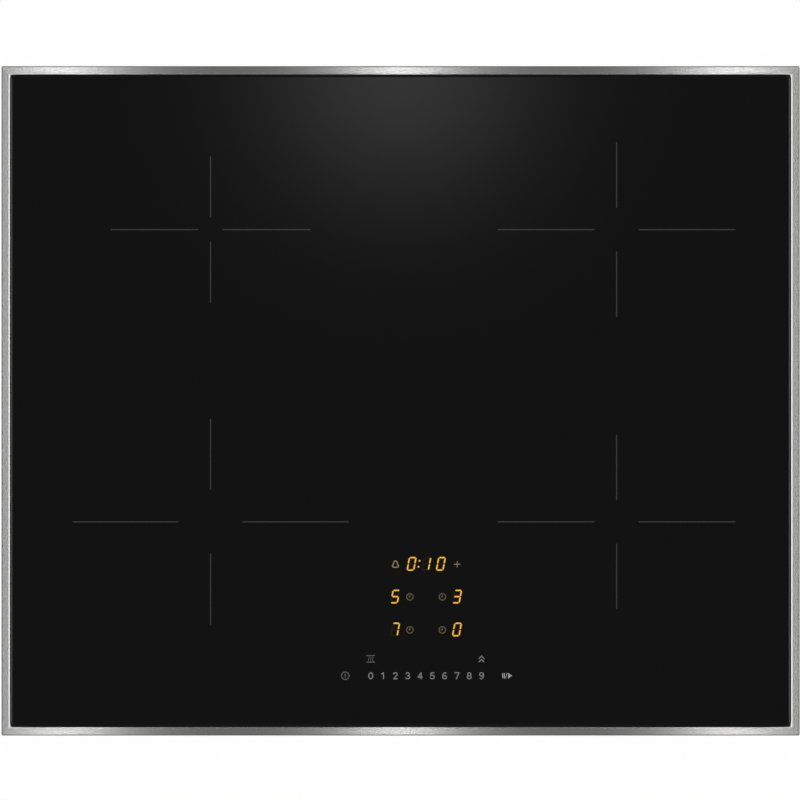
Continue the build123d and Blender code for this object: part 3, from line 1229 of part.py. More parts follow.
def digit_displays():
    """Timer display and the four zone displays."""
    levels = (CONTROL_BOARD_TOP, CONTROL_BOARD_TOP + DISPLAY_HEIGHT)
    timer = Pos(CONTROL_X, TIMER_ROW_Y, 0) * plate(*TIMER_DISPLAY_SIZE, *levels)
    digit = plate(*DIGIT_DISPLAY_SIZE, *levels)
    return group([timer] + [Pos(x, y, 0) * digit for x, y in zone_column_places(DIGIT_COLUMN_OFFSET)])


def symbol_lights():
    """Light guides of the bell, the plus and the four clocks."""
    timer_symbols = [(CONTROL_X + side * DIGIT_COLUMN_OFFSET, TIMER_ROW_Y) for side in (-1, 1)]
    places = timer_symbols + zone_column_places(CLOCK_COLUMN_OFFSET)
    levels = (CONTROL_BOARD_TOP, CONTROL_BOARD_TOP + DISPLAY_HEIGHT)
    return group(post(x, y, *levels, SYMBOL_LIGHT_RADIUS) for x, y in places)


def touch_pads():
    """Conductive foam pads between the touch board and the glass."""
    reach = SLIDER_PITCH * (SLIDER_PADS - 1) / 2
    row = [(x, SLIDER_ROW_Y) for x in spread(SLIDER_PADS, CONTROL_X - reach, CONTROL_X + reach)]
    ends = [(CONTROL_X + side * END_PAD_OFFSET, SLIDER_ROW_Y) for side in (-1, 1)]
    upper = [(CONTROL_X + side * reach, UPPER_PAD_ROW_Y) for side in (-1, 1)]
    top = GLASS_BASE - TOUCH_PAD_GLASS_GAP
    return group(post(x, y, CONTROL_BOARD_TOP, top, TOUCH_PAD_RADIUS) for x, y in row + ends + upper)


def ribbon_cable():
    """Flat cable from the touch board down to the left inverter board."""
    upper, lower = ribbon_places()
    half = RIBBON_THICKNESS / 2
    points = [
        (upper, CONTROL_BOARD_BASE - RIBBON_END_GAP),
        (upper, RIBBON_LEVEL),
        (lower, RIBBON_LEVEL),
        (lower, BOARD_TOP + RIBBON_END_GAP),
    ]
    path = Plane.XZ * FilletPolyline(*points, radius=RIBBON_BEND_RADIUS)
    section = Plane(origin=path @ 0, x_dir=(1, 0, 0), z_dir=path % 0) * Rectangle(2 * half, RIBBON_WIDTH)
    return Pos(0, RIBBON_Y, 0) * sweep(section, path=path)


def all_nodes():
    """Every node of the assembly by name."""
    nodes = {
        "trim_frame": trim_frame(),
        "glass_top": glass_top(),
        "glass_bond": glass_bond(),
        "worktop_seal": worktop_seal(),
        "base_tray": base_tray(),
        "casing_screws": casing_screws(),
        "rating_plate": rating_plate(),
        "clamp_screws": clamp_screws(),
        "terminal_box": terminal_box(),
        "terminal_lid": terminal_lid(),
        "cable_gland": cable_gland(),
        "gland_nut": gland_nut(),
        "terminal_block": terminal_block(),
        "terminal_screws": terminal_screws(),
        "mains_wires": mains_wires(),
        "earth_stud": earth_stud(),
        "ferrite_bars": ferrite_bars(),
        "mica_sheets": mica_sheets(),
        "heat_sensors": heat_sensors(),
        "coil_sleeves": coil_sleeves(),
        "plate_pillars": plate_pillars(),
        "inner_screws": inner_screws(),
        "board_standoffs": board_standoffs(),
        "power_transistors": power_transistors(),
        "film_capacitors": film_capacitors(),
        "chokes": chokes(),
        "fan_bearings": fan_bearings(),
        "fan_stators": fan_stators(),
        "control_carrier": control_carrier(),
        "touch_board": touch_board(),
        "digit_displays": digit_displays(),
        "symbol_lights": symbol_lights(),
        "touch_pads": touch_pads(),
        "ribbon_cable": ribbon_cable(),
    }
    for name, corner in CORNERS.items():
        nodes[f"clamp_{name}"] = clamp(*corner)
        nodes[f"coil_winding_{name}"] = coil_winding(name)
        nodes[f"coil_former_{name}"] = coil_former(name)
    for name, side in SIDES.items():
        nodes[f"coil_plate_{name}"] = coil_plate(name)
        nodes[f"heatsink_{name}"] = heatsink(side)
        nodes[f"fan_housing_{name}"] = fan_housing(side)
        nodes[f"fan_rotor_{name}"] = fan_rotor(side)
        nodes[f"fan_shaft_{name}"] = fan_shaft(side)
    for name in board_outlines():
        nodes[name] = circuit_board(name)
    return nodes


os.makedirs("parts", exist_ok=True)
for node_name, shape in all_nodes().items():
    export_step(shape, f"parts/{node_name}.step")
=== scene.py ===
import functools
import json
import logging
import math
from dataclasses import dataclass
from enum import Enum

import bmesh
import bpy
import numpy as np
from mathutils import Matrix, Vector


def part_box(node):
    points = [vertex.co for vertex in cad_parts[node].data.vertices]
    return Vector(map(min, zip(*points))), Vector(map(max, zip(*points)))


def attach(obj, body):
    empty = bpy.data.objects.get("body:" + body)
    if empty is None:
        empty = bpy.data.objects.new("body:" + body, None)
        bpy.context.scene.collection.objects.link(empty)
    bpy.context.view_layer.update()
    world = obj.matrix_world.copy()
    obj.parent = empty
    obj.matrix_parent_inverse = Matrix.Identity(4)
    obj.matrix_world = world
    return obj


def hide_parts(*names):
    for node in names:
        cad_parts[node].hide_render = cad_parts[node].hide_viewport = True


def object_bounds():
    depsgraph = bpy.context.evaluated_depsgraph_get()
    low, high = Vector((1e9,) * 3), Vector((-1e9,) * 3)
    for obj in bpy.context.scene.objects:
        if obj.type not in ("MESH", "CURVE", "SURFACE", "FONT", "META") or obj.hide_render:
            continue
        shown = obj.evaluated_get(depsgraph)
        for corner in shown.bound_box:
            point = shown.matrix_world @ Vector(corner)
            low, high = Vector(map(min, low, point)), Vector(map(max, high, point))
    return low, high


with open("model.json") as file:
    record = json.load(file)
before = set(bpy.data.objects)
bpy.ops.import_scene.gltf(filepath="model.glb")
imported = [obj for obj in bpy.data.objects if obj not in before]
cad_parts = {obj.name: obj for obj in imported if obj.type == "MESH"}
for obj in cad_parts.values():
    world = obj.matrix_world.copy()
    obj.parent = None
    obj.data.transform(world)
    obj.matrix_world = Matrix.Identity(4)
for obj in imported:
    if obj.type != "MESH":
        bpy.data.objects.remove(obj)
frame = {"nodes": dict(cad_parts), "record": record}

# Looks of a built-in induction cooktop. Shapes are worked out in millimetres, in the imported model's frame.
CAD_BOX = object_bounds()
MM = 0.001
CASING = "casing"
CORE = "core"
GRAIN = "grain"
RUN_STEPS = 5
CAP_TURNS = (10.0, 80.0)
CAP_STEPS = 6
SAME_POINT = 1e-6
WELD = 1e-7
ZONE_CENTRES = {
    "rear_left": (-146.2, 131.7),
    "rear_right": (166.2, 131.7),
    "front_left": (-146.2, -93.1),
    "front_right": (166.2, -93.1),
}
Array = np.ndarray
Pair = tuple[float, float]
Triple = tuple[float, float, float]
Face = tuple[int, ...]
Part = tuple[Array, list[Face]]
Stroke = tuple[Array, bool]
Material = bpy.types.Material
Socket = bpy.types.NodeSocket
log = logging.getLogger("cooktop")


# Mesh arithmetic


def box_mm(node: str) -> Array:
    """Lowest and highest corner of a CAD node, in millimetres."""
    return np.array(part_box(node)) / MM


def grid_faces(rows: int, columns: int, wrap_rows: bool, wrap_columns: bool) -> list[Face]:
    """Quads over a grid of points numbered row by row.

    Args:
        rows: Number of grid rows.
        columns: Number of grid columns.
        wrap_rows: Whether the last row joins the first.
        wrap_columns: Whether the last column joins the first.

    Returns:
        Four point numbers for each quad.
    """
    i = np.arange(rows if wrap_rows else rows - 1)[:, None]
    j = np.arange(columns if wrap_columns else columns - 1)[None, :]
    after_i, after_j = (i + 1) % rows, (j + 1) % columns
    corners = (i * columns + j, after_i * columns + j, after_i * columns + after_j, i * columns + after_j)
    return list(map(tuple, np.stack(np.broadcast_arrays(*corners), -1).reshape(-1, 4).tolist()))


def capped(rows: int, columns: int) -> list[Face]:
    """Quads round a tube of points numbered ring by ring, with a cap on each end.

    Args:
        rows: Number of rings.
        columns: Number of points in a ring.

    Returns:
        The point numbers of each face.
    """
    last = (rows - 1) * columns
    caps = [tuple(range(columns)), tuple(range(last, last + columns))]
    return grid_faces(rows, columns, False, True) + caps


def joined(parts: list[Part]) -> Part:
    """Puts parts together.

    Args:
        parts: Points and faces of each part.

    Returns:
        All points, and all faces with their point numbers moved on.
    """
    starts = np.cumsum([0] + [len(points) for points, _ in parts])
    faces = [tuple(n + int(start) for n in face) for start, (_, fs) in zip(starts, parts) for face in fs]
    return np.concatenate([points for points, _ in parts]), faces


def at_height(outline: Array, height: float) -> Array:
    """An outline in plan as points at one height."""
    return np.column_stack([outline, np.full(len(outline), height)])


def ribbon(path: Array, width: float, base: float, top: float, closed: bool = False) -> Part:
    """Flat bar of even width along a path in plan.

    At each path point the section is a rectangle across the path. An open bar ends in half circles: over the
    last half width w, at distance w cos(a) past the end, the section is w sin(a) to each side.

    Args:
        path: Points in plan.
        width: Width of the bar.
        base: Height of its underside.
        top: Height of its upper side.
        closed: Whether the path is a ring.

    Returns:
        Points and faces of the closed bar.
    """
    half = width / 2
    step = np.roll(path, -1, 0) - np.roll(path, 1, 0) if closed else np.gradient(path, axis=0)
    way = step / np.linalg.norm(step, axis=1, keepdims=True)
    reach = np.full((len(path), 1), half)
    if not closed:
        turn = np.radians(np.linspace(*CAP_TURNS, CAP_STEPS))[:, None]
        head = path[0] - way[0] * half * np.cos(turn)
        tail = path[-1] + way[-1] * half * np.cos(turn[::-1])
        reach = np.concatenate([half * np.sin(turn), reach, half * np.sin(turn[::-1])])
        way = np.concatenate([np.repeat(way[:1], CAP_STEPS, 0), way, np.repeat(way[-1:], CAP_STEPS, 0)])
        path = np.concatenate([head, path, tail])
    side = np.stack([-way[:, 1], way[:, 0]], 1) * reach
    left, right = path + side, path - side
    corners = [at_height(left, top), at_height(right, top), at_height(right, base), at_height(left, base)]
    faces = grid_faces(len(path), 4, True, True) if closed else capped(len(path), 4)
    return np.stack(corners, 1).reshape(-1, 3), faces


def prism(outline: Array, base: float, top: float) -> Part:
    """Upright prism over a convex outline: its wall is the outline at two heights, with a cap on each."""
    return np.concatenate([at_height(outline, base), at_height(outline, top)]), capped(2, len(outline))


def arc(centre: Pair, radii: Pair, start: float, stop: float, count: int = 20) -> Array:
    """An ellipse's arc: centre plus radii times cosine and sine, between two angles in degrees."""
    turn = np.radians(np.linspace(start, stop, count))
    return np.stack([centre[0] + radii[0] * np.cos(turn), centre[1] + radii[1] * np.sin(turn)], 1)


def ring(centre: Pair, radii: Pair, count: int = 36) -> Array:
    """Points of a whole ellipse, without the repeated last one."""
    return arc(centre, radii, 0, 360, count + 1)[:-1]


def run(start: Pair | Array, stop: Pair | Array) -> Array:
    """Points of a straight run, in even steps."""
    return np.linspace(start, stop, RUN_STEPS + 1)


def chain(*pieces: Array) -> Array:
    """Pieces of a path end to end, without points that repeat the one before."""
    path = np.concatenate(pieces)
    return path[np.append(True, np.linalg.norm(np.diff(path, axis=0), axis=1) > SAME_POINT)]


def line(start: Pair | Array, stop: Pair | Array) -> Stroke:
    """Open straight stroke."""
    return run(start, stop), False


def bow(centre: Pair, radii: Pair, start: float, stop: float) -> Stroke:
    """Open stroke along an ellipse's arc."""
    return arc(centre, radii, start, stop), False


def loop(centre: Pair, radii: Pair, count: int = 36) -> Stroke:
    """Closed stroke round an ellipse."""
    return ring(centre, radii, count), True


# Finishes


class Pattern(Enum):
    """The kind of mark that a finish carries."""

    CLOUD = "cloud"
    SPANGLE = "spangle"
    CELLS = "cells"
    STRANDS = "strands"
    TRACKS = "tracks"


class Nodes:
    """Short way to add and join the nodes of a tree."""

    def __init__(self, tree: bpy.types.NodeTree) -> None:
        """Keeps the tree and clears it."""
        self.tree = tree
        tree.nodes.clear()

    def add(self, kind: str, settings: dict | None = None, **inputs: object) -> bpy.types.Node:
        """Adds a node.

        Args:
            kind: The node's type name after ShaderNode.
            settings: Properties of the node.
            inputs: Values or output sockets for its inputs. The letter i and a number name an input by its
                place, and in other names an underscore stands for a space.

        Returns:
            The node.
        """
        node = self.tree.nodes.new("ShaderNode" + kind)
        for key, value in (settings or {}).items():
            setattr(node, key, value)
        for key, value in inputs.items():
            numbered = key[0] == "i" and key[1:].isdigit()
            socket = node.inputs[int(key[1:]) if numbered else key.replace("_", " ")]
            if isinstance(value, Socket):
                self.tree.links.new(value, socket)
            else:
                socket.default_value = value
        return node

    def place(self) -> Socket:
        """Place on the object."""
        return self.add("TexCoord").outputs["Object"]

    def noise(self, place: Socket, scale: float, detail: float) -> Socket:
        """Share from 0 to 1 that varies over the place."""
        return self.add("TexNoise", Vector=place, Scale=scale, Detail=detail).outputs["Fac"]

    def math(self, operation: str, *values: object) -> Socket:
        """One arithmetic step on numbers or sockets."""
        inputs = {f"i{n}": value for n, value in enumerate(values)}
        return self.add("Math", {"operation": operation}, **inputs).outputs[0]

    def square(self, value: Socket) -> Socket:
        """A number times itself."""
        return self.math("MULTIPLY", value, value)

    def blend(self, share: Socket, near: Triple, far: Triple) -> Socket:
        """Colour between two tones."""
        mix = self.add("Mix", {"data_type": "RGBA"}, i0=share, i6=(*near, 1.0), i7=(*far, 1.0))
        return mix.outputs[2]

    def spread(self, share: Socket, low: float, high: float) -> Socket:
        """Number between two limits."""
        return self.add("MapRange", Value=share, To_Min=low, To_Max=high).outputs[0]

    def surface(self, **inputs: object) -> None:
        """Ends the tree in one shaded surface with the inputs given."""
        shader = self.add("BsdfPrincipled", **inputs)
        self.add("OutputMaterial", Surface=shader.outputs[0])


def new_material(name: str) -> tuple[Material, Nodes]:
    """Makes an empty node material.

    Args:
        name: The material's name.

    Returns:
        The material and its nodes.
    """
    material = bpy.data.materials.new(name)
    material.use_nodes = True
    return material, Nodes(material.node_tree)


STAIN_SHARE = 0.25
STAINS_PER_METRE = 14.0
RELIEF_DEPTH = 0.0002


@dataclass(frozen=True)
class Finish:
    """A surface of two tones, with its roughness and relief from one pattern and a broad stain."""

    name: str
    near: Triple
    far: Triple
    rough: Pair
    marks_per_metre: float
    pattern: Pattern = Pattern.CLOUD
    stretch: Triple = (1.0, 1.0, 1.0)
    relief: float = 0.15
    metallic: float = 0.0
    coat: float = 0.0

    def marks(self, nodes: Nodes) -> Socket:
        """The pattern as a share from 0 to 1.

        Args:
            nodes: The material's nodes.

        Returns:
            The share's socket.
        """
        place = nodes.add("Mapping", Vector=nodes.place(), Scale=self.stretch).outputs[0]
        scale = self.marks_per_metre
        if self.pattern is Pattern.SPANGLE:
            wobble = nodes.add("TexNoise", Vector=place, Scale=scale * 0.7, Detail=2.0).outputs["Color"]
            bent = nodes.add("Mix", {"data_type": "VECTOR"}, i0=0.002, i4=place, i5=wobble).outputs[1]
            cell = nodes.add("TexVoronoi", Vector=bent, Scale=scale).outputs["Color"]
            return nodes.add("SeparateColor", Color=cell).outputs[0]
        if self.pattern is Pattern.CELLS:
            return nodes.add("TexVoronoi", Vector=place, Scale=scale).outputs["Distance"]
        if self.pattern is Pattern.STRANDS:
            settings = {"wave_type": "BANDS", "bands_direction": "DIAGONAL"}
            return nodes.add("TexWave", settings, Vector=place, Scale=scale, Distortion=1.5).outputs["Fac"]
        if self.pattern is Pattern.TRACKS:
            settings = {"offset": 0.35, "squash": 0.6, "squash_frequency": 3}
            tracks = nodes.add("TexBrick", settings, Vector=place, Scale=scale, Mortar_Size=0.05)
            return tracks.outputs["Fac"]
        return nodes.noise(place, scale, 4.0)

    def material(self) -> Material:
        """The finish as a node material.

        Returns:
            The material.
        """
        material, nodes = new_material(self.name)
        marks = self.marks(nodes)
        stain = nodes.noise(nodes.place(), STAINS_PER_METRE, 3.0)
        stain = nodes.math("MULTIPLY", stain, STAIN_SHARE)
        share = nodes.math("ADD", nodes.math("MULTIPLY", marks, 1 - STAIN_SHARE), stain)
        bump = nodes.add("Bump", Strength=self.relief, Distance=RELIEF_DEPTH, Height=marks)
        nodes.surface(
            Base_Color=nodes.blend(share, self.near, self.far),
            Roughness=nodes.spread(share, *self.rough),
            Normal=bump.outputs[0],
            Metallic=self.metallic,
            Coat_Weight=self.coat,
        )
        return material


@dataclass(frozen=True)
class BrushedRail:
    """Stainless steel brushed along the rail, with the grain in the piece's own UV map."""

    name: str = "brushed_rail"
    tone: Triple = (0.62, 0.62, 0.615)
    shade: Triple = (0.595, 0.595, 0.59)
    rough: Pair = (0.26, 0.275)
    lay: float = 1.0

    def material(self) -> Material:
        """Long fine scratches: noise stretched along the rail sets tone, roughness and relief.

        Returns:
            The material.
        """
        material, nodes = new_material(self.name)
        uv = nodes.add("UVMap", {"uv_map": GRAIN}).outputs[0]
        place = nodes.add("Mapping", Vector=uv, Scale=(4200.0, 7.0, 1.0)).outputs[0]
        scratch = nodes.noise(place, 1.0, 3.0)
        bump = nodes.add("Bump", Strength=0.012, Distance=0.00002, Height=scratch)
        tangent = nodes.add("Tangent", {"direction_type": "UV_MAP", "uv_map": GRAIN})
        nodes.surface(
            Base_Color=nodes.blend(scratch, self.shade, self.tone),
            Roughness=nodes.spread(scratch, *self.rough),
            Normal=bump.outputs[0],
            Tangent=tangent.outputs[0],
            Metallic=1.0,
            Anisotropic=self.lay,
        )
        return material


@dataclass(frozen=True)
class BlackGlass:
    """Polished ceramic glass over a black print, with a few wiping smears."""

    name: str = "black_glass"
    tone: Triple = (0.0016, 0.0016, 0.0017)
    speck: Triple = (0.0026, 0.0026, 0.0027)
    rough: Pair = (0.02, 0.055)

    def material(self) -> Material:
        """Fine specks in the black and smears that change the gloss a little.

        Returns:
            The material.
        """
        material, nodes = new_material(self.name)
        place = nodes.place()
        turned = nodes.add("Mapping", Vector=place, Rotation=(0, 0, 0.5), Scale=(5.0, 28.0, 1.0)).outputs[0]
        smear = nodes.add("TexNoise", Vector=turned, Scale=1.0, Detail=4.0, Distortion=0.6).outputs["Fac"]
        nodes.surface(
            Base_Color=nodes.blend(nodes.noise(place, 2200.0, 2.0), self.tone, self.speck),
            Roughness=nodes.spread(smear, *self.rough),
            IOR=1.5,
        )
        return material


@dataclass(frozen=True)
class Enamel:
    """Grey print fired onto the glass in fine dots."""

    name: str
    tone: Triple
    gap: Triple
    rough: Pair = (0.45, 0.6)
    dots_per_metre: float = 3200.0

    def material(self) -> Material:
        """A screen of small dots in two greys.

        Returns:
            The material.
        """
        material, nodes = new_material(self.name)
        settings = {"feature": "SMOOTH_F1"}
        screen = nodes.add("TexVoronoi", settings, Vector=nodes.place(), Scale=self.dots_per_metre)
        dots = screen.outputs["Distance"]
        nodes.surface(
            Base_Color=nodes.blend(dots, self.tone, self.gap),
            Roughness=nodes.spread(dots, *self.rough),
        )
        return material


@dataclass(frozen=True)
class LitFilm:
    """Light that shows through the glass, palest along the middle of each bar."""

    name: str
    core: Triple
    edge: Triple
    core_share: float = 0.85
    flicker_share: float = 0.2
    flickers_per_metre: float = 420.0

    def material(self) -> Material:
        """Glow from the edge's tone to the core's, by the points' own share and a slow flicker of tone.

        Returns:
            The material.
        """
        material, nodes = new_material(self.name)
        flicker = nodes.noise(nodes.place(), self.flickers_per_metre, 1.0)
        share = nodes.add("Attribute", {"attribute_name": CORE}).outputs["Fac"]
        middle = nodes.math("MULTIPLY", share, self.core_share)
        glow = nodes.math("ADD", middle, nodes.math("MULTIPLY", flicker, self.flicker_share))
        nodes.surface(
            Base_Color=nodes.blend(flicker, (0.004, 0.003, 0.002), (0.006, 0.005, 0.003)),
            Roughness=0.04,
            Emission_Color=nodes.blend(glow, self.edge, self.core),
            Emission_Strength=1.0,
        )
        return material


FINISHES = (
    BlackGlass(),
    Finish("black_silicone", (0.0012, 0.0012, 0.0013), (0.0024, 0.0024, 0.0025), (0.04, 0.07), 700.0,
           relief=0.02),
    Finish("grey_foam", (0.075, 0.075, 0.078), (0.03, 0.03, 0.032), (0.85, 0.95), 1400.0, Pattern.CELLS,
           relief=0.6),
    Finish("galvanised_steel", (0.53, 0.54, 0.55), (0.64, 0.65, 0.66), (0.32, 0.42), 150.0, Pattern.SPANGLE,
           relief=0.01, metallic=1.0),
    Finish("label_aluminium", (0.66, 0.66, 0.66), (0.76, 0.76, 0.76), (0.35, 0.45), 300.0,
           stretch=(0.04, 1, 1), metallic=1.0),
    Finish("zinc_steel", (0.50, 0.50, 0.50), (0.66, 0.66, 0.65), (0.26, 0.42), 500.0, relief=0.08,
           metallic=1.0),
    Finish("black_nylon", (0.016, 0.016, 0.018), (0.03, 0.03, 0.032), (0.45, 0.62), 1500.0, relief=0.2),
    Finish("grey_nylon", (0.13, 0.135, 0.14), (0.18, 0.185, 0.19), (0.45, 0.6), 1500.0, relief=0.2),
    Finish("ivory_nylon", (0.58, 0.56, 0.49), (0.66, 0.64, 0.57), (0.4, 0.55), 1200.0),
    Finish("brass", (0.66, 0.47, 0.20), (0.78, 0.59, 0.30), (0.22, 0.36), 600.0, metallic=1.0),
    Finish("wire_jacket", (0.17, 0.06, 0.025), (0.23, 0.09, 0.035), (0.35, 0.5), 500.0),
    Finish("copper_litz", (0.50, 0.21, 0.09), (0.76, 0.38, 0.19), (0.28, 0.45), 900.0, Pattern.STRANDS,
           metallic=1.0),
    Finish("former_resin", (0.42, 0.36, 0.26), (0.50, 0.44, 0.34), (0.5, 0.65), 900.0, stretch=(1, 0.3, 1)),
    Finish("ferrite", (0.028, 0.029, 0.033), (0.045, 0.046, 0.05), (0.55, 0.75), 1300.0, relief=0.3),
    Finish("mica", (0.48, 0.42, 0.31), (0.64, 0.58, 0.46), (0.3, 0.5), 180.0, Pattern.SPANGLE),
    Finish("sensor_ceramic", (0.71, 0.69, 0.65), (0.79, 0.77, 0.73), (0.5, 0.65), 900.0),
    Finish("glass_sleeve", (0.60, 0.57, 0.47), (0.78, 0.75, 0.66), (0.7, 0.85), 1100.0, Pattern.STRANDS,
           relief=0.5),
    Finish("plain_aluminium", (0.60, 0.61, 0.62), (0.72, 0.73, 0.74), (0.3, 0.45), 260.0,
           stretch=(1, 0.05, 1), metallic=1.0),
    Finish("board_laminate", (0.022, 0.15, 0.055), (0.012, 0.085, 0.03), (0.25, 0.4), 160.0, Pattern.TRACKS,
           coat=0.3),
    Finish("transistor_resin", (0.014, 0.014, 0.016), (0.024, 0.024, 0.026), (0.5, 0.65), 1600.0),
    Finish("capacitor_case", (0.045, 0.085, 0.28), (0.065, 0.115, 0.36), (0.2, 0.35), 300.0),
    Finish("choke_copper", (0.52, 0.23, 0.09), (0.72, 0.36, 0.17), (0.22, 0.4), 520.0, Pattern.STRANDS,
           relief=0.5, metallic=1.0),
    Finish("bright_steel", (0.58, 0.58, 0.59), (0.68, 0.68, 0.69), (0.1, 0.2), 800.0, metallic=1.0),
    Finish("sintered_bronze", (0.42, 0.28, 0.14), (0.54, 0.38, 0.20), (0.45, 0.6), 2200.0, Pattern.CELLS,
           metallic=1.0),
    Finish("stator_steel", (0.30, 0.30, 0.32), (0.42, 0.42, 0.44), (0.4, 0.55), 900.0,
           stretch=(0.1, 0.1, 2), metallic=1.0),
    Finish("display_resin", (0.02, 0.019, 0.017), (0.04, 0.037, 0.033), (0.2, 0.35), 400.0),
    Finish("light_guide", (0.64, 0.60, 0.49), (0.74, 0.70, 0.60), (0.3, 0.45), 500.0),
    Finish("contact_foam", (0.025, 0.025, 0.028), (0.045, 0.045, 0.048), (0.85, 0.95), 1500.0, Pattern.CELLS,
           relief=0.6),
    Finish("ribbon_jacket", (0.36, 0.36, 0.38), (0.48, 0.48, 0.50), (0.4, 0.55), 700.0, stretch=(0.1, 1, 1)),
)
SLOT_FINISHES = {"brushed_stainless": BrushedRail(), **{finish.name: finish for finish in FINISHES}}
# The bevel is the rail's steel with less roughness and no grain, its tone painted lighter as a painted
# highlight.
PAINTED_HIGHLIGHT_BEVEL = BrushedRail("polished_bevel_painted_highlight", (0.88, 0.88, 0.875), (0.83, 0.83, 0.825), (0.14, 0.16), 0.0)
# The outer edge is the rail's steel a little rougher, its tone painted much darker as painted shade: a dark
# reflection along the rim.
PAINTED_SHADE_FOLD = BrushedRail("folded_edge_painted_shade", (0.30, 0.30, 0.298), (0.26, 0.26, 0.258), (0.42, 0.48))
ZONE_ENAMEL = Enamel("zone_enamel", (0.05, 0.05, 0.051), (0.026, 0.026, 0.027))
KEY_ENAMEL = Enamel("key_enamel", (0.18, 0.18, 0.182), (0.12, 0.12, 0.122))
NUMERAL_ENAMEL = Enamel("numeral_enamel", (0.37, 0.37, 0.372), (0.28, 0.28, 0.282))
PAUSE_ENAMEL = Enamel("pause_enamel", (0.64, 0.64, 0.642), (0.52, 0.52, 0.522))
DIGIT_LIGHT = LitFilm("digit_light", (0.98, 0.59, 0.085), (0.42, 0.105, 0.0))
SYMBOL_LIGHT = LitFilm("symbol_light", (0.34, 0.25, 0.135), (0.28, 0.195, 0.10))
CLOCK_LIGHT = LitFilm("clock_light", (0.16, 0.122, 0.07), (0.125, 0.093, 0.053))
# Bars that are off glow faintly orange: a painted glow standing in for light leaking from the lit segments.
UNLIT_BAR_PAINTED_GLOW = LitFilm("unlit_bar_painted_glow", (0.011, 0.008, 0.002), (0.007, 0.005, 0.001))


@functools.cache
def slot_material(slot: str) -> Material:
    """The material of one of the record's slots, made once."""
    return SLOT_FINISHES[slot].material()


def dress_nodes() -> None:
    """Gives each CAD node the finish of its slot in the record."""
    for entry in frame["record"]["subparts"]:
        mesh = frame["nodes"][entry["node"]].data
        mesh.materials.clear()
        mesh.materials.append(slot_material(entry["material_slot"]))
    log.info("dressed %d CAD nodes", len(frame["nodes"]))


def put(
    name: str,
    part: Part,
    slot: str,
    stands_for: tuple[str, ...] = (),
    material: Material | None = None,
    crease: float = 35.0,
    uv: Array | None = None,
    core: Array | None = None,
) -> bpy.types.Object:
    """Makes an object of a part and sets it on the casing.

    Args:
        name: The piece's name.
        part: Its points in millimetres and its faces.
        slot: The record's material slot.
        stands_for: CAD nodes that it replaces.
        material: Its finish, if it isn't the slot's.
        crease: Angle in degrees above which an edge stays sharp.
        uv: One UV place for each point, if the finish follows the surface.
        core: One share for each point, 1 on the middle of a lit bar.

    Returns:
        The new object.
    """
    points, faces = part
    mesh = bpy.data.meshes.new(name)
    mesh.from_pydata((points * MM).tolist(), [], faces)
    if uv is not None:
        corner_points = np.empty(len(mesh.loops), np.int32)
        mesh.loops.foreach_get("vertex_index", corner_points)
        mesh.uv_layers.new(name=GRAIN).data.foreach_set("uv", uv[corner_points].astype(np.float32).ravel())
    if core is not None:
        mesh.attributes.new(CORE, "FLOAT", "POINT").data.foreach_set("value", core.astype(np.float32))
    bm = bmesh.new()
    bm.from_mesh(mesh)
    bmesh.ops.remove_doubles(bm, verts=bm.verts, dist=WELD)
    bmesh.ops.dissolve_degenerate(bm, edges=bm.edges, dist=WELD)
    bmesh.ops.recalc_face_normals(bm, faces=bm.faces)
    bm.to_mesh(mesh)
    bm.free()
    mesh.polygons.foreach_set("use_smooth", np.ones(len(mesh.polygons), bool))
    mesh.set_sharp_from_angle(angle=math.radians(crease))
    mesh.materials.append(material or slot_material(slot))
    piece = bpy.data.objects.new(name, mesh)
    bpy.context.scene.collection.objects.link(piece)
    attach(piece, CASING)
    if stands_for:
        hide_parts(*stands_for)
    log.info("%s: %d faces", name, len(mesh.polygons))
    return piece


# The top: rail, seals and prints


@dataclass
class SweptRing:
    """A closed section carried round a rectangle, with its corners mitred and rounded."""

    straight_steps: int = 24
    corner_steps: int = 5

    def sweep(self, section: Array) -> tuple[Part, Array]:
        """Carries the section round the four sides.

        Each section row is a rounded rectangle: half width, half depth, corner radius and height. A side runs
        from one mitre to the next: an eighth of the corner's circle, a straight run, and another eighth. The
        four sides are the first one turned by quarter turns.

        Args:
            section: The rows, in order round the section.

        Returns:
            The part, and a UV place for each point: along the section, and along the side.
        """
        rows = np.concatenate([section, section[:1]])
        radius = rows[:, 2:3]
        start = np.radians(np.linspace(135, 90, self.corner_steps + 1))[None, :]
        stop = np.radians(np.linspace(90, 45, self.corner_steps + 1))[None, :]
        share = np.linspace(-1, 1, self.straight_steps + 1)[None, 1:-1]
        parts, places = [], []
        for quarter in range(4):
            length, out = (rows[:, 0:1], rows[:, 1:2]) if quarter % 2 == 0 else (rows[:, 1:2], rows[:, 0:1])
            end, rise = length - radius, out - radius
            level = np.repeat(out, share.shape[1], 1)
            first, last = radius * np.cos(start) - end, radius * np.cos(stop) + end
            along = np.concatenate([first, share * end, last], 1)
            away = np.concatenate([radius * np.sin(start) + rise, level, radius * np.sin(stop) + rise], 1)
            turn = -math.pi / 2 * quarter
            x = along * math.cos(turn) - away * math.sin(turn)
            y = along * math.sin(turn) + away * math.cos(turn)
            z = np.repeat(rows[:, 3:4], x.shape[1], 1)
            travel = np.hypot(np.diff(out[:, 0]), np.diff(rows[:, 3]))
            across = np.concatenate([[0.0], np.cumsum(travel)])[:, None]
            parts.append((np.stack([x, y, z], -1).reshape(-1, 3), grid_faces(*x.shape, False, False)))
            places.append(np.stack([np.broadcast_to(across, x.shape), along], -1).reshape(-1, 2))
        return joined(parts), np.concatenate(places) * MM


def face_triples(mesh: bpy.types.Mesh, name: str) -> Array:
    """Reads a property of three numbers from every face.

    Args:
        mesh: The mesh.
        name: The property.

    Returns:
        One row for each face.
    """
    values = np.empty(3 * len(mesh.polygons))
    mesh.polygons.foreach_get(name, values)
    return values.reshape(-1, 3)


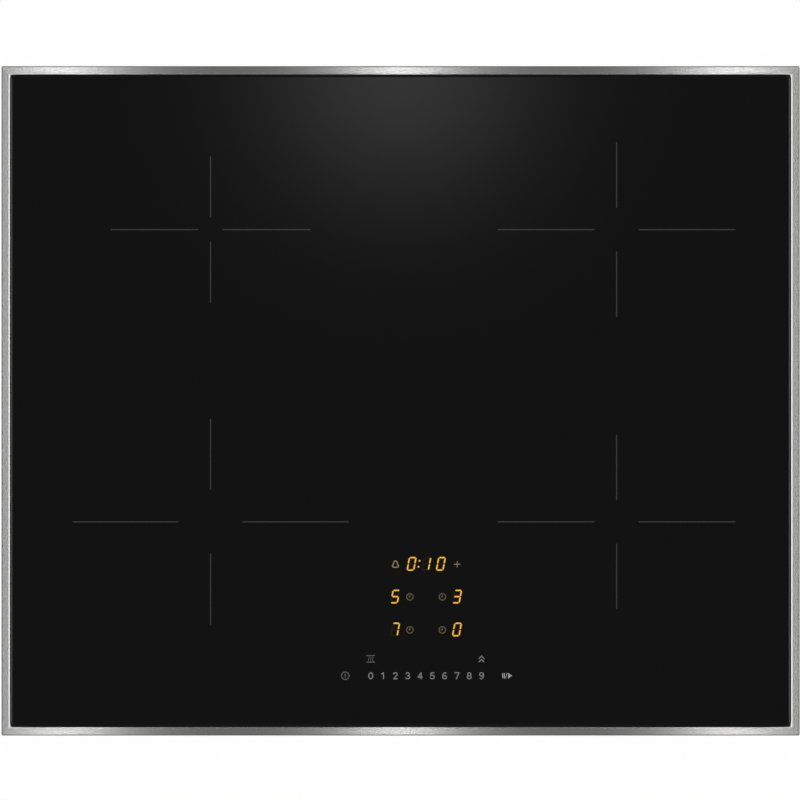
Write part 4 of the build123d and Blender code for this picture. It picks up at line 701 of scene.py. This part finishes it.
@dataclass
class TrimRail(SweptRing):
    """Stainless frame: a rail with a rounded outer edge and an inner bevel, folded over a ledge.

    A face is sloped if its normal's rise lies between upright and level, and square if its normal follows an
    axis this closely.
    """

    rail_width: float = 6.8
    bevel: float = 1.2
    edge_radius: float = 0.8
    sheet: float = 0.8
    corner_radius: float = 1.2
    opening_corner: float = 0.15
    hollow_corner: float = 0.3
    ledge_corner: float = 4.0
    ledge_inset: Pair = (41.8, 27.3)
    edge_steps: int = 6
    upright: float = 0.05
    level: float = 0.995
    square: float = 0.9999

    def section(self) -> Array:
        """The folded section, from the outer wall's foot over the rail, down to the ledge and back.

        Returns:
            The section's rows.
        """
        low, high = box_mm("trim_frame")
        half = high[:2]
        base, top = low[2], high[2]

        def row(inset: float, height: float, radius: float) -> list[float]:
            """A rectangle set in evenly from the frame's outer edge."""
            return [half[0] - inset, half[1] - inset, radius, height]

        def edge(turn: float) -> list[float]:
            """A row on the rounded outer edge, turned from the wall towards the rail's top."""
            inset = self.edge_radius * (1 - math.cos(turn))
            return row(inset, top - self.edge_radius * (1 - math.sin(turn)), self.corner_radius - inset)

        fold = self.bevel - self.sheet * (2 - math.sqrt(2))
        wall = self.rail_width - self.sheet
        ledge = [half[0] - self.ledge_inset[0], half[1] - self.ledge_inset[1], self.ledge_corner]
        return np.array([
            row(0.0, base, self.corner_radius),
            *map(edge, np.linspace(0, math.pi / 2, self.edge_steps + 1)),
            row(self.rail_width - self.bevel, top, self.opening_corner),
            row(self.rail_width, top - self.bevel, self.opening_corner),
            row(self.rail_width, base + self.sheet, self.opening_corner),
            [*ledge, base + self.sheet],
            [*ledge, base],
            row(wall, base, self.hollow_corner),
            row(wall, top - self.sheet - fold, self.hollow_corner),
            row(wall - fold, top - self.sheet, self.hollow_corner),
            row(self.sheet, top - self.sheet, self.corner_radius - self.sheet),
            row(self.sheet, base, self.corner_radius - self.sheet),
        ])

    def build(self) -> None:
        """Makes the frame, with a polished bevel painted lighter as a highlight and a rougher folded outer
        edge painted darker as shade.
        """
        part, uv = self.sweep(self.section())
        mesh = put("trim_rail", part, "brushed_stainless", ("trim_frame",), uv=uv).data
        mesh.materials.append(PAINTED_HIGHLIGHT_BEVEL.material())
        mesh.materials.append(PAINTED_SHADE_FOLD.material())
        normals, centres = face_triples(mesh, "normal"), face_triples(mesh, "center")
        inward = (normals[:, :2] * centres[:, :2]).sum(1) < 0
        sloped = (normals[:, 2] > self.upright) & (normals[:, 2] < self.level)
        # Sloped faces facing in take the bevel's painted highlight, sloped faces facing out take the outer
        # edge's painted shade.
        numbers = np.where(sloped, np.where(inward, 1, 2), 0)
        mesh.polygons.foreach_set("material_index", numbers.astype(np.int32))
        mesh.polygons.foreach_set("use_smooth", np.abs(normals).max(1) < self.square)


@dataclass
class Seals(SweptRing):
    """The bonding bead round the glass and the foam strip under the frame."""

    bead_dip: float = 0.03
    bead_steps: int = 7
    opening_corner: float = 0.5
    glass_corner: float = 2.0
    bed_half: Pair = (280.0, 245.0)
    bed_corner: float = 4.0
    foam_width: float = 9.0
    foam_bulge: float = 0.25
    foam_corner: float = 0.8
    foam_steps: int = 5

    def bead_section(self) -> Array:
        """The bead: a flat bed, and an upright whose top dips as a parabola between glass and rail.

        Returns:
            The section's rows.
        """
        low, high = box_mm("glass_bond")
        glass_low, glass_high = box_mm("glass_top")
        bed_top = glass_low[2]
        share = np.linspace(0, 1, self.bead_steps)
        inset = (high[0] - glass_high[0]) * share
        corner = self.opening_corner + (self.glass_corner - self.opening_corner) * share
        dip = self.bead_dip * 4 * share * (1 - share)
        bed = [*self.bed_half, self.bed_corner]
        return np.array([
            [high[0], high[1], self.opening_corner, low[2]],
            *np.stack([high[0] - inset, high[1] - inset, corner, high[2] - dip], 1),
            [glass_high[0], glass_high[1], self.glass_corner, bed_top],
            [*bed, bed_top],
            [*bed, low[2]],
        ])

    def foam_section(self) -> Array:
        """The strip: two flat faces joined by edges that bulge as half a sine.

        Returns:
            The section's rows.
        """
        low, high = box_mm("worktop_seal")
        share = np.linspace(0, 1, self.foam_steps)
        height = low[2] + (high[2] - low[2]) * share
        corner = np.full(self.foam_steps, self.foam_corner)
        bulge = self.foam_bulge * (np.sin(math.pi * share) - 1)
        inset = self.foam_width + bulge
        outer = np.stack([high[0] + bulge, high[1] + bulge, corner, height], 1)
        inner = np.stack([high[0] - inset, high[1] - inset, corner, height], 1)
        return np.concatenate([outer, inner[::-1]])

    def build(self) -> None:
        """Makes both seals."""
        bead, _ = self.sweep(self.bead_section())
        put("glass_bead", bead, "black_silicone", ("glass_bond",))
        foam, _ = self.sweep(self.foam_section())
        put("foam_strip", foam, "grey_foam", ("worktop_seal",))


# Drawings: numerals one unit high from their lower left corner, and signs in millimetres about their middle

CAP_WIDTH = 0.56
NUMERALS = {
    "0": [loop((0.28, 0.5), (0.215, 0.435))],
    "1": [line((0.12, 0.76), (0.32, 0.935)), line((0.32, 0.935), (0.32, 0.065))],
    "2": [
        (chain(arc((0.275, 0.715), (0.205, 0.22), 170, -30), run((0.45, 0.6), (0.085, 0.065))), False),
        line((0.085, 0.065), (0.49, 0.065)),
    ],
    "3": [bow((0.265, 0.715), (0.185, 0.22), 160, -90), bow((0.265, 0.28), (0.215, 0.215), 90, -160)],
    "4": [
        line((0.40, 0.065), (0.40, 0.935)),
        line((0.40, 0.935), (0.06, 0.30)),
        line((0.06, 0.30), (0.52, 0.30)),
    ],
    "5": [
        line((0.45, 0.935), (0.135, 0.935)),
        line((0.135, 0.935), (0.098, 0.49)),
        bow((0.27, 0.325), (0.22, 0.26), 140, -155),
    ],
    "6": [loop((0.28, 0.30), (0.21, 0.235)), bow((0.33, 0.38), (0.26, 0.555), 65, 180)],
    "7": [line((0.06, 0.935), (0.50, 0.935)), line((0.50, 0.935), (0.21, 0.065))],
    "8": [loop((0.28, 0.715), (0.18, 0.22)), loop((0.28, 0.285), (0.215, 0.22))],
}
NUMERALS["9"] = [(np.array([CAP_WIDTH, 1.0]) - path, closed) for path, closed in NUMERALS["6"]]
CHEVRONS = [line((side * 1.9, foot), (0.0, foot + 2.0)) for foot in (-2.4, 0.2) for side in (-1, 1)]
PAUSE_BARS = [line((x, -1.7), (x, 1.7)) for x in (-3.3, -2.0)]
PAUSE_SLASH = [line((-1.0, -2.0), (0.1, 2.0))]
PAUSE_ARROW = np.array([(0.9, -2.2), (3.9, 0.0), (0.9, 2.2)])
POWER = [loop((0, 0), (2.9, 2.9), 48), line((0, -1.1), (0, 1.3))]
WARM_BARS = [line((-2.9, height), (2.9, height)) for height in (-2.5, 2.5)]
WAVE_HEIGHT = np.linspace(-1.5, 1.5, 16)
WAVE_SWAY = 0.3 * np.sin(WAVE_HEIGHT * 2.1)
WARM_WAVES = [(np.stack([x + WAVE_SWAY, WAVE_HEIGHT], 1), False) for x in (-1.5, 0.0, 1.5)]
BELL_EDGE = chain(
    arc((0, 1.0), (1.35, 1.6), 0, 180),
    run((-1.5, 0.3), (-2.25, -1.0)),
    arc((-1.5, -1.4), (0.85, 0.8), 160, 265, 8),
    run((-0.8, -2.35), (0.8, -2.35)),
    arc((1.5, -1.4), (0.85, 0.8), 275, 380, 8),
    run((2.25, -1.0), (1.5, 0.3)),
)
PLUS = [line((-2.3, 0), (2.3, 0)), line((0, -2.1), (0, 2.1))]
CLOCK = [loop((0, 0), (2.5, 2.5), 48), line((0, 0), (0, 1.4)), line((0, 0), (-0.9, 0))]
DOT = ring((0, 0), (0.75, 0.75), 20)
CROSS_WAYS = ((1, 0), (-1, 0), (0, 1), (0, -1))


@dataclass
class GlassFilm:
    """Thin films that lie on the glass."""

    depth: float = 0.01
    rise: float = 0.03
    step: float = 0.002

    def levels(self) -> Pair:
        """Underside and upper side of a film, which starts just inside the glass."""
        top = float(box_mm("glass_top")[1][2])
        return top - self.depth, top + self.rise

    def bars(self, strokes: list[Stroke], width: float, centre: Pair) -> list[Part]:
        """Strokes drawn as bars about a centre, each a hair higher than the one before.

        Args:
            strokes: Paths, each with whether it is a ring.
            width: Width of the bars.
            centre: Place of the strokes' origin on the glass.

        Returns:
            One part for each stroke.
        """
        base, top = self.levels()
        return [
            ribbon(path + np.array(centre), width, base, top + self.step * number, closed)
            for number, (path, closed) in enumerate(strokes)
        ]


@dataclass(frozen=True)
class ZoneMark:
    """Cross print of one zone: its name, arm lengths in X and Y, and the open middle's half width."""

    zone: str
    arm_x: float
    arm_y: float
    middle: float


@dataclass
class GlassPrints(GlassFilm):
    """Grey prints: the zones' crosses and the marks of the touch keys."""

    zones: tuple[ZoneMark, ...] = (
        ZoneMark("rear_left", 76.8, 56.5, 9.3),
        ZoneMark("rear_right", 91.5, 67.3, 16.8),
        ZoneMark("front_left", 106.3, 79.2, 24.5),
        ZoneMark("front_right", 91.5, 67.1, 16.8),
    )
    zone_line: float = 0.9
    slider_row: float = -211.5
    upper_row: float = -198.5
    slider_start: float = -22.9
    slider_pitch: float = 9.47
    cap_height: float = 5.3
    cap_spread: float = 1.34
    cap_stroke: float = 0.15
    power_x: float = -42.5
    pause_x: float = 81.9
    sign_line: float = 0.75
    slash_line: float = 0.42
    wave_line: float = 0.4

    def zone_parts(self) -> list[Part]:
        """Four straight bars for each zone, open at the middle.

        Returns:
            The bars.
        """
        half = self.zone_line / 2
        arms = []
        for mark in self.zones:
            for way in np.array(CROSS_WAYS):
                reach = mark.arm_x if way[0] else mark.arm_y
                arm = line((mark.middle + half) * way, (reach - half) * way)
                arms += self.bars([arm], self.zone_line, ZONE_CENTRES[mark.zone])
        return arms

    def numeral_parts(self) -> list[Part]:
        """Slider numerals, and two chevrons over the last one.

        Returns:
            The bars.
        """
        size = np.array([self.cap_spread, 1.0]) * self.cap_height
        places = self.slider_start + self.slider_pitch * np.arange(len(NUMERALS))
        parts = []
        for strokes, x in zip(NUMERALS.values(), places):
            corner = (x - CAP_WIDTH / 2 * size[0], self.slider_row - size[1] / 2)
            sized = [(path * size, closed) for path, closed in strokes]
            parts += self.bars(sized, self.cap_stroke * size[1], corner)
        return parts + self.bars(CHEVRONS, self.sign_line, (places[-1], self.upper_row))

    def pause_parts(self) -> list[Part]:
        """Pause sign: two bars, a slash and an arrow head.

        Returns:
            The bars and the arrow head.
        """
        centre = (self.pause_x, self.slider_row)
        parts = self.bars(PAUSE_BARS, self.sign_line, centre)
        parts += self.bars(PAUSE_SLASH, self.slash_line, centre)
        return parts + [prism(PAUSE_ARROW + np.array(centre), *self.levels())]

    def key_parts(self) -> list[Part]:
        """Power ring and keep-warm sign, whose waves sway as a sine of the height.

        Returns:
            The bars.
        """
        warm = (self.slider_start, self.upper_row)
        parts = self.bars(POWER, self.sign_line, (self.power_x, self.slider_row))
        parts += self.bars(WARM_BARS, self.sign_line, warm)
        return parts + self.bars(WARM_WAVES, self.wave_line, warm)

    def build(self) -> None:
        """Makes the prints, each in its own grey."""
        prints = (
            ("zone_prints", self.zone_parts(), ZONE_ENAMEL),
            ("key_prints", self.key_parts(), KEY_ENAMEL),
            ("numeral_prints", self.numeral_parts(), NUMERAL_ENAMEL),
            ("pause_prints", self.pause_parts(), PAUSE_ENAMEL),
        )
        for name, parts, enamel in prints:
            put(name, joined(parts), "sensor_ceramic", material=enamel.material())


class Segment(Enum):
    """Bars of a seven-segment digit: the middle of each, in half cells, and whether it is upright."""

    TOP = (0.0, 1.0, False)
    UPPER_RIGHT = (1.0, 0.5, True)
    LOWER_RIGHT = (1.0, -0.5, True)
    BASE = (0.0, -1.0, False)
    LOWER_LEFT = (-1.0, -0.5, True)
    UPPER_LEFT = (-1.0, 0.5, True)
    MIDDLE = (0.0, 0.0, False)


UNLIT = {
    "0": {Segment.MIDDLE},
    "1": {Segment.TOP, Segment.BASE, Segment.LOWER_LEFT, Segment.UPPER_LEFT, Segment.MIDDLE},
    "3": {Segment.LOWER_LEFT, Segment.UPPER_LEFT},
    "5": {Segment.UPPER_RIGHT, Segment.LOWER_LEFT},
    "7": {Segment.BASE, Segment.LOWER_LEFT, Segment.UPPER_LEFT, Segment.MIDDLE},
}


@dataclass
class Display(GlassFilm):
    """Lit digits and symbols that show through the glass."""

    half_width: float = 2.5
    half_height: float = 4.78
    bar: float = 1.24
    gap: float = 0.12
    slant: float = 0.19
    spine_width: float = 0.32
    spine_cut: float = 0.6
    digits: tuple[tuple[str, float, float], ...] = (
        ("0", 8.5, -125.4), ("1", 19.8, -125.4), ("0", 31.0, -125.4),
        ("5", -4.1, -150.6), ("3", 43.5, -150.6), ("7", -4.2, -175.9), ("0", 43.4, -175.9),
    )
    colon: Pair = (14.2, -125.4)
    dot_heights: Pair = (-2.3, 2.3)
    dot_core: float = 0.5
    bell: Pair = (-3.9, -125.7)
    bell_line: float = 0.75
    plus: Pair = (43.6, -125.7)
    plus_line: float = 0.5
    clocks: tuple[Pair, ...] = ((7.2, -150.8), (32.2, -150.8), (7.2, -176.2), (32.2, -176.2))
    clock_line: float = 0.62

    def leaned(self, outline: Array, centre: Pair) -> Array:
        """An outline leaned to the right by its height times the slant, and set at its place."""
        return np.stack([outline[:, 0] + self.slant * outline[:, 1], outline[:, 1]], 1) + np.array(centre)

    def lit_bar(self, outline: Array, spine: Array, centre: Pair) -> Part:
        """A film over an outline whose upper face rises to a spine, as three rings joined and capped.

        Args:
            outline: The bar's edge.
            spine: The edge drawn in to its palest part, with as many points.
            centre: The digit's middle.

        Returns:
            The part: first the ring below, then the upper edge, then the spine.
        """
        base, top = self.levels()
        rings = ((outline, base), (outline, top), (spine, top + self.step))
        points = [at_height(self.leaned(edge, centre), height) for edge, height in rings]
        return np.concatenate(points), capped(len(rings), len(outline))

    def segment(self, segment: Segment, centre: Pair) -> Part:
        """One bar with pointed ends.

        Args:
            segment: Which bar.
            centre: The digit's middle.

        Returns:
            The part.
        """
        across, up, upright = segment.value
        reach = (self.half_height / 2 if upright else self.half_width) - self.gap
        half = self.bar / 2
        middle = np.array([across * self.half_width, up * self.half_height])

        def edge(half: float, reach: float) -> Array:
            """Six corners of a bar, turned upright if it stands."""
            x = np.array([-reach, half - reach, reach - half, reach, reach - half, half - reach])
            y = np.array([0, -half, -half, 0, half, half])
            return np.stack([-y, x] if upright else [x, y], 1) + middle

        spine = edge(half * self.spine_width, reach - half * self.spine_cut)
        return self.lit_bar(edge(half, reach), spine, centre)

    def build(self) -> None:
        """Makes the lit digits, the bars that are off with a faint painted glow, and the symbols."""
        lit, unlit = [], []
        for sign, x, y in self.digits:
            for segment in Segment:
                (unlit if segment in UNLIT[sign] else lit).append(self.segment(segment, (x, y)))
        for height in self.dot_heights:
            place = np.array([0, height])
            lit.append(self.lit_bar(DOT + place, DOT * self.dot_core + place, self.colon))
        core = np.concatenate([np.repeat([0.0, 0.0, 1.0], len(points) // 3) for points, _ in lit])
        symbols = self.bars([(BELL_EDGE, True)], self.bell_line, self.bell)
        symbols += self.bars(PLUS, self.plus_line, self.plus)
        clocks = [bar for place in self.clocks for bar in self.bars(CLOCK, self.clock_line, place)]
        put("digit_bars", joined(lit), "light_guide", material=DIGIT_LIGHT.material(), core=core)
        # The bars that are off carry a faint painted glow.
        put("unlit_bars", joined(unlit), "display_resin", material=UNLIT_BAR_PAINTED_GLOW.material())
        put("lit_symbols", joined(symbols), "light_guide", material=SYMBOL_LIGHT.material())
        put("lit_clocks", joined(clocks), "light_guide", material=CLOCK_LIGHT.material())


# Under the top: screws and windings


@dataclass(frozen=True)
class CrossScrews:
    """Pan-head screws with a cross recess."""

    head_radius: float
    head_height: float
    shank_radius: float
    recess_depth: float
    recess_width: float
    recess_reach: float = 0.62
    rim_drop: float = 0.55
    hub: float = 0.02
    rings: int = 12
    spokes: int = 48

    def heads(self, places: Array, base: float, tip: float) -> Part:
        """All screws of one kind at once.

        Over a disc of radius r and turn a, the head's height is a dome that drops with the fourth power of r,
        and the recess takes away a cross: its depth where the place is near either arm, smoothly less beyond.
        The outline then drops to the head's base, goes in to the shank and down to the tip.

        Args:
            places: Plan places of the screws.
            base: Height of the head's seat.
            tip: Height of the shank's end; below the seat for a head that is up.

        Returns:
            Points and faces of closed screws.
        """
        way = 1.0 if tip < base else -1.0
        share = np.linspace(self.hub, 1, self.rings)[:, None]
        turn = np.linspace(0, 2 * math.pi, self.spokes, endpoint=False)[None, :]
        x, y = self.head_radius * share * np.cos(turn), self.head_radius * share * np.sin(turn)
        dome = self.head_height * (1 - self.rim_drop * share**4)
        near = np.minimum(np.abs(x), np.abs(y)) / (self.recess_width / 2)
        far = np.maximum(np.abs(x), np.abs(y)) / (self.recess_reach * self.head_radius)
        cut = 1 / (1 + near**6) / (1 + far**10)
        crown = np.stack([x, y, base + way * (dome - self.recess_depth * cut)], -1)
        radius = np.array([[self.head_radius], [self.shank_radius], [self.shank_radius], [self.hub]])
        height = np.repeat([[base], [base], [tip], [tip]], self.spokes, 1)
        lathe = np.stack([radius * np.cos(turn), radius * np.sin(turn), height], -1)
        one = np.concatenate([crown, lathe])
        faces = capped(len(one), self.spokes)
        return joined([(one.reshape(-1, 3) + place, faces) for place in at_height(places, 0.0)])


@dataclass
class Fasteners:
    """The casing's and the clamps' screws."""

    small: CrossScrews = CrossScrews(2.8, 1.8, 1.5, 0.9, 0.8)
    large: CrossScrews = CrossScrews(3.6, 2.4, 2.0, 1.2, 1.0)
    lip_half: Pair = (274.0, 239.0)
    lip_base: float = 44.4
    along_x: tuple[float, ...] = (-225.0, -75.0, 75.0, 225.0)
    along_y: Triple = (-190.0, 0.0, 190.0)
    flange_places: tuple[Pair, Pair] = ((-52.0, 206.5), (52.0, 206.5))
    flange_base: float = 2.8
    clamp_half: Pair = (275.0, 150.0)
    clamp_base: float = 11.2

    def build(self) -> None:
        """Makes the screws of the lip, the terminal box and the clamps."""
        lip_x, lip_y = self.lip_half
        places = [(x, side * lip_y) for x in self.along_x for side in (-1, 1)]
        places += [(side * lip_x, y) for y in self.along_y for side in (-1, 1)]
        low, high = box_mm("casing_screws")
        lip = self.small.heads(np.array(places), self.lip_base, high[2])
        flange = self.small.heads(np.array(self.flange_places), self.flange_base, low[2])
        put("casing_cross_screws", joined([lip, flange]), "zinc_steel", ("casing_screws",))
        clamp_x, clamp_y = self.clamp_half
        corners = np.array([(x, y) for x in (-clamp_x, clamp_x) for y in (-clamp_y, clamp_y)])
        clamps = self.large.heads(corners, self.clamp_base, float(box_mm("clamp_screws")[0][2]))
        put("clamp_cross_screws", clamps, "zinc_steel", ("clamp_screws",))


@dataclass
class Winding:
    """Flat spiral of twisted litz wire."""

    zone: str
    turns: int
    hand: int
    inner: float = 22.0
    pitch: float = 3.6
    half_width: float = 1.45
    strands: int = 5
    lobe: float = 0.1
    twists_per_turn: float = 9.0
    steps: int = 72
    sides: int = 15

    def part(self) -> Part:
        """The wire's surface.

        The centre line is a spiral: the radius grows by the pitch in each turn. Round it the section's radius
        is nine tenths and a tenth of the cosine of the strands, which turn with the way along the wire.

        Returns:
            Points and faces of the closed wire.
        """
        low, high = box_mm(f"coil_winding_{self.zone}")
        centre = ZONE_CENTRES[self.zone]
        half_height = (high[2] - low[2]) / 2
        turn = np.linspace(0, 2 * math.pi * self.turns, self.turns * self.steps + 1)[:, None]
        around = np.linspace(0, 2 * math.pi, self.sides, endpoint=False)[None, :]
        twist = np.cos(self.strands * (around - turn * self.twists_per_turn / self.strands))
        section = 1 - self.lobe + self.lobe * twist
        radius = self.inner + self.pitch * turn / (2 * math.pi) + self.half_width * section * np.cos(around)
        height = (low[2] + high[2]) / 2 + half_height * section * np.sin(around)
        x = centre[0] + self.hand * radius * np.cos(turn)
        y = centre[1] - radius * np.sin(turn)
        return np.stack([x, y, height], -1).reshape(-1, 3), capped(len(turn), self.sides)

    def build(self) -> None:
        """Makes the wire in place of its CAD node."""
        node = f"coil_winding_{self.zone}"
        put(f"litz_{self.zone}", self.part(), "copper_litz", (node,), crease=70.0)


WINDINGS = (
    Winding("front_left", 20, -1),
    Winding("rear_left", 12, -1),
    Winding("front_right", 16, 1),
    Winding("rear_right", 16, 1),
)


# Stage, in metres and watts


@dataclass(frozen=True)
class Lamp:
    """A flat lamp: its middle, the point that it faces, its extents before it is turned, and its power."""

    name: str
    place: Triple
    aim: Triple
    size: Pair
    watts: float

    def build(self) -> None:
        """Adds the lamp, out of the camera's sight."""
        light = bpy.data.lights.new(self.name, "AREA")
        light.shape = "RECTANGLE"
        light.size, light.size_y = self.size
        light.energy = self.watts
        lamp = bpy.data.objects.new(self.name, light)
        lamp.location = self.place
        across, ahead = self.aim[0] - self.place[0], self.aim[1] - self.place[1]
        drop = self.place[2] - self.aim[2]
        lamp.rotation_euler = (math.atan2(ahead, drop), -math.atan2(across, drop), 0.0)
        lamp.visible_camera = False
        bpy.context.scene.collection.objects.link(lamp)


@dataclass
class Stage:
    """Floor, sky, lamps and the camera over the cooktop."""

    camera_height: float = 4.0
    camera_sensor: float = 36.0
    camera_reach: float = 200.0
    view_width: float = 0.61535
    view_centre: Pair = (-0.00042, 0.00064)
    floor_half: float = 40.0
    floor_drop: float = 0.0003
    floor_white: float = 1.06
    floor_white_share: float = 0.9
    zenith: float = 0.135
    horizon_height: float = 0.18
    horizon_ends: float = 0.2
    horizon_sides: float = 1.6
    glow: float = 0.75
    glow_lean: float = 0.0655
    glow_width: float = 0.0174
    lamp_height: float = 1.25
    lamp_aim: float = 0.05
    bar_places: Triple = (-0.347, 0.0, 0.341)
    bar_watts: Pair = (0.80, 0.96)

    def make_camera(self) -> None:
        """Long lens straight above the frame's upper face."""
        top = CAD_BOX[1].z
        camera = bpy.data.cameras.new("camera")
        camera.sensor_width = self.camera_sensor
        camera.lens = camera.sensor_width * self.camera_height / self.view_width
        camera.clip_end = self.camera_reach
        holder = bpy.data.objects.new("camera", camera)
        holder.location = (*self.view_centre, top + self.camera_height)
        bpy.context.scene.collection.objects.link(holder)
        bpy.context.scene.camera = holder

    def make_floor(self) -> None:
        """White floor, clear from below, that shows white to the camera and keeps the shadow."""
        half = self.floor_half
        mesh = bpy.data.meshes.new("floor")
        corners = [(-half, -half), (half, -half), (half, half), (-half, half)]
        mesh.from_pydata([(x, y, -self.floor_drop) for x, y in corners], [], [(0, 1, 2, 3)])
        material, nodes = new_material("white_floor")
        path = nodes.add("LightPath").outputs
        seen = nodes.math("MAXIMUM", path["Is Camera Ray"], path["Is Glossy Ray"])
        seen = nodes.math("MAXIMUM", seen, path["Is Transmission Ray"])
        grain = nodes.noise(nodes.place(), 30.0, 2.0)
        paint = nodes.add("BsdfDiffuse", Color=nodes.blend(grain, (0.84, 0.84, 0.84), (0.88, 0.88, 0.88)))
        white = nodes.add("Emission", Color=(1, 1, 1, 1), Strength=self.floor_white)
        share = nodes.math("MULTIPLY", seen, self.floor_white_share)
        front = nodes.add("MixShader", i0=share, i1=paint.outputs[0], i2=white.outputs[0])
        below = nodes.add("NewGeometry").outputs["Backfacing"]
        clear = nodes.add("BsdfTransparent")
        both = nodes.add("MixShader", i0=below, i1=front.outputs[0], i2=clear.outputs[0])
        nodes.add("OutputMaterial", Surface=both.outputs[0])
        mesh.materials.append(material)
        floor = bpy.data.objects.new("floor", mesh)
        floor.visible_diffuse = False
        floor.visible_shadow = False
        bpy.context.scene.collection.objects.link(floor)

    def make_sky(self) -> None:
        """Sky that is white low at both sides and below, and dark overhead, with a glow beyond the rear edge.

        With height, the horizon's tone fades to the zenith's as a bell curve. The glow is a bell curve of the
        distance from its middle, over a level plane above the cooktop.
        """
        world = bpy.data.worlds.new("studio")
        world.use_nodes = True
        bpy.context.scene.world = world
        nodes = Nodes(world.node_tree)
        x, y, height = nodes.add("SeparateXYZ", Vector=nodes.add("TexCoord").outputs["Generated"]).outputs
        fall = nodes.math("DIVIDE", nodes.math("MAXIMUM", height, 0.0), self.horizon_height)
        fall = nodes.math("EXPONENT", nodes.math("MULTIPLY", nodes.square(fall), -1.0))
        flat = nodes.math("SQRT", nodes.math("ADD", nodes.square(x), nodes.square(y)))
        share = nodes.math("DIVIDE", nodes.math("ABSOLUTE", x), nodes.math("MAXIMUM", flat, 0.0001))
        horizon = nodes.add("MapRange", {"interpolation_type": "SMOOTHSTEP"}, Value=share, From_Min=0.4,
                            From_Max=0.85, To_Min=self.horizon_ends, To_Max=self.horizon_sides).outputs[0]
        rise = nodes.math("MULTIPLY", fall, nodes.math("SUBTRACT", horizon, self.zenith))
        sky = nodes.math("ADD", rise, self.zenith)
        sky = nodes.math("MAXIMUM", sky, nodes.math("LESS_THAN", height, 0.0))
        upper = nodes.math("MAXIMUM", height, 0.05)
        side = nodes.math("DIVIDE", nodes.math("DIVIDE", x, upper), self.glow_width)
        lean = nodes.math("SUBTRACT", nodes.math("DIVIDE", y, upper), self.glow_lean)
        lean = nodes.math("DIVIDE", lean, self.glow_width)
        distance = nodes.math("ADD", nodes.square(side), nodes.square(lean))
        glow = nodes.math("EXPONENT", nodes.math("MULTIPLY", distance, -0.5))
        light = nodes.math("ADD", sky, nodes.math("MULTIPLY", glow, self.glow))
        back = nodes.add("Background", Color=light, Strength=1.0)
        nodes.add("OutputWorld", Surface=back.outputs[0])

    def make_lamps(self) -> None:
        """Three narrow lamps, high and low, beyond each long edge, and a strip beyond each short edge."""
        high, aim = self.lamp_height, self.lamp_aim
        lamps = []
        for side, watts in zip((-1, 1), self.bar_watts):
            for number, x in enumerate(self.bar_places):
                name = f"bar_{side}_{number}"
                lamps.append(Lamp(name, (x, side * 0.8, high), (x, side * 0.2, aim), (0.035, 0.3), watts))
                lamps.append(Lamp(f"low_{name}", (x, side * 1.3, 0.13), (x, 0.0, 0.06), (0.035, 0.2), 0.05))
        for side in (-1, 1):
            place, target = (side * 0.56, 0.0, high), (side * 0.3, 0.0, aim)
            lamps.append(Lamp(f"strip_{side}", place, target, (0.1, 1.2), 1.75))
        for lamp in lamps:
            lamp.build()

    def build(self) -> None:
        """Sets the whole stage."""
        bpy.context.scene.view_settings.view_transform = "Standard"
        self.make_camera()
        self.make_floor()
        self.make_sky()
        self.make_lamps()


def main() -> None:
    """Builds and dresses the cooktop."""
    logging.basicConfig(level=logging.INFO, format="%(name)s: %(message)s")
    Stage().build()
    dress_nodes()
    for piece in (TrimRail(), Seals(), GlassPrints(), Display(), Fasteners(), *WINDINGS):
        piece.build()


if __name__ == "__main__":
    main()
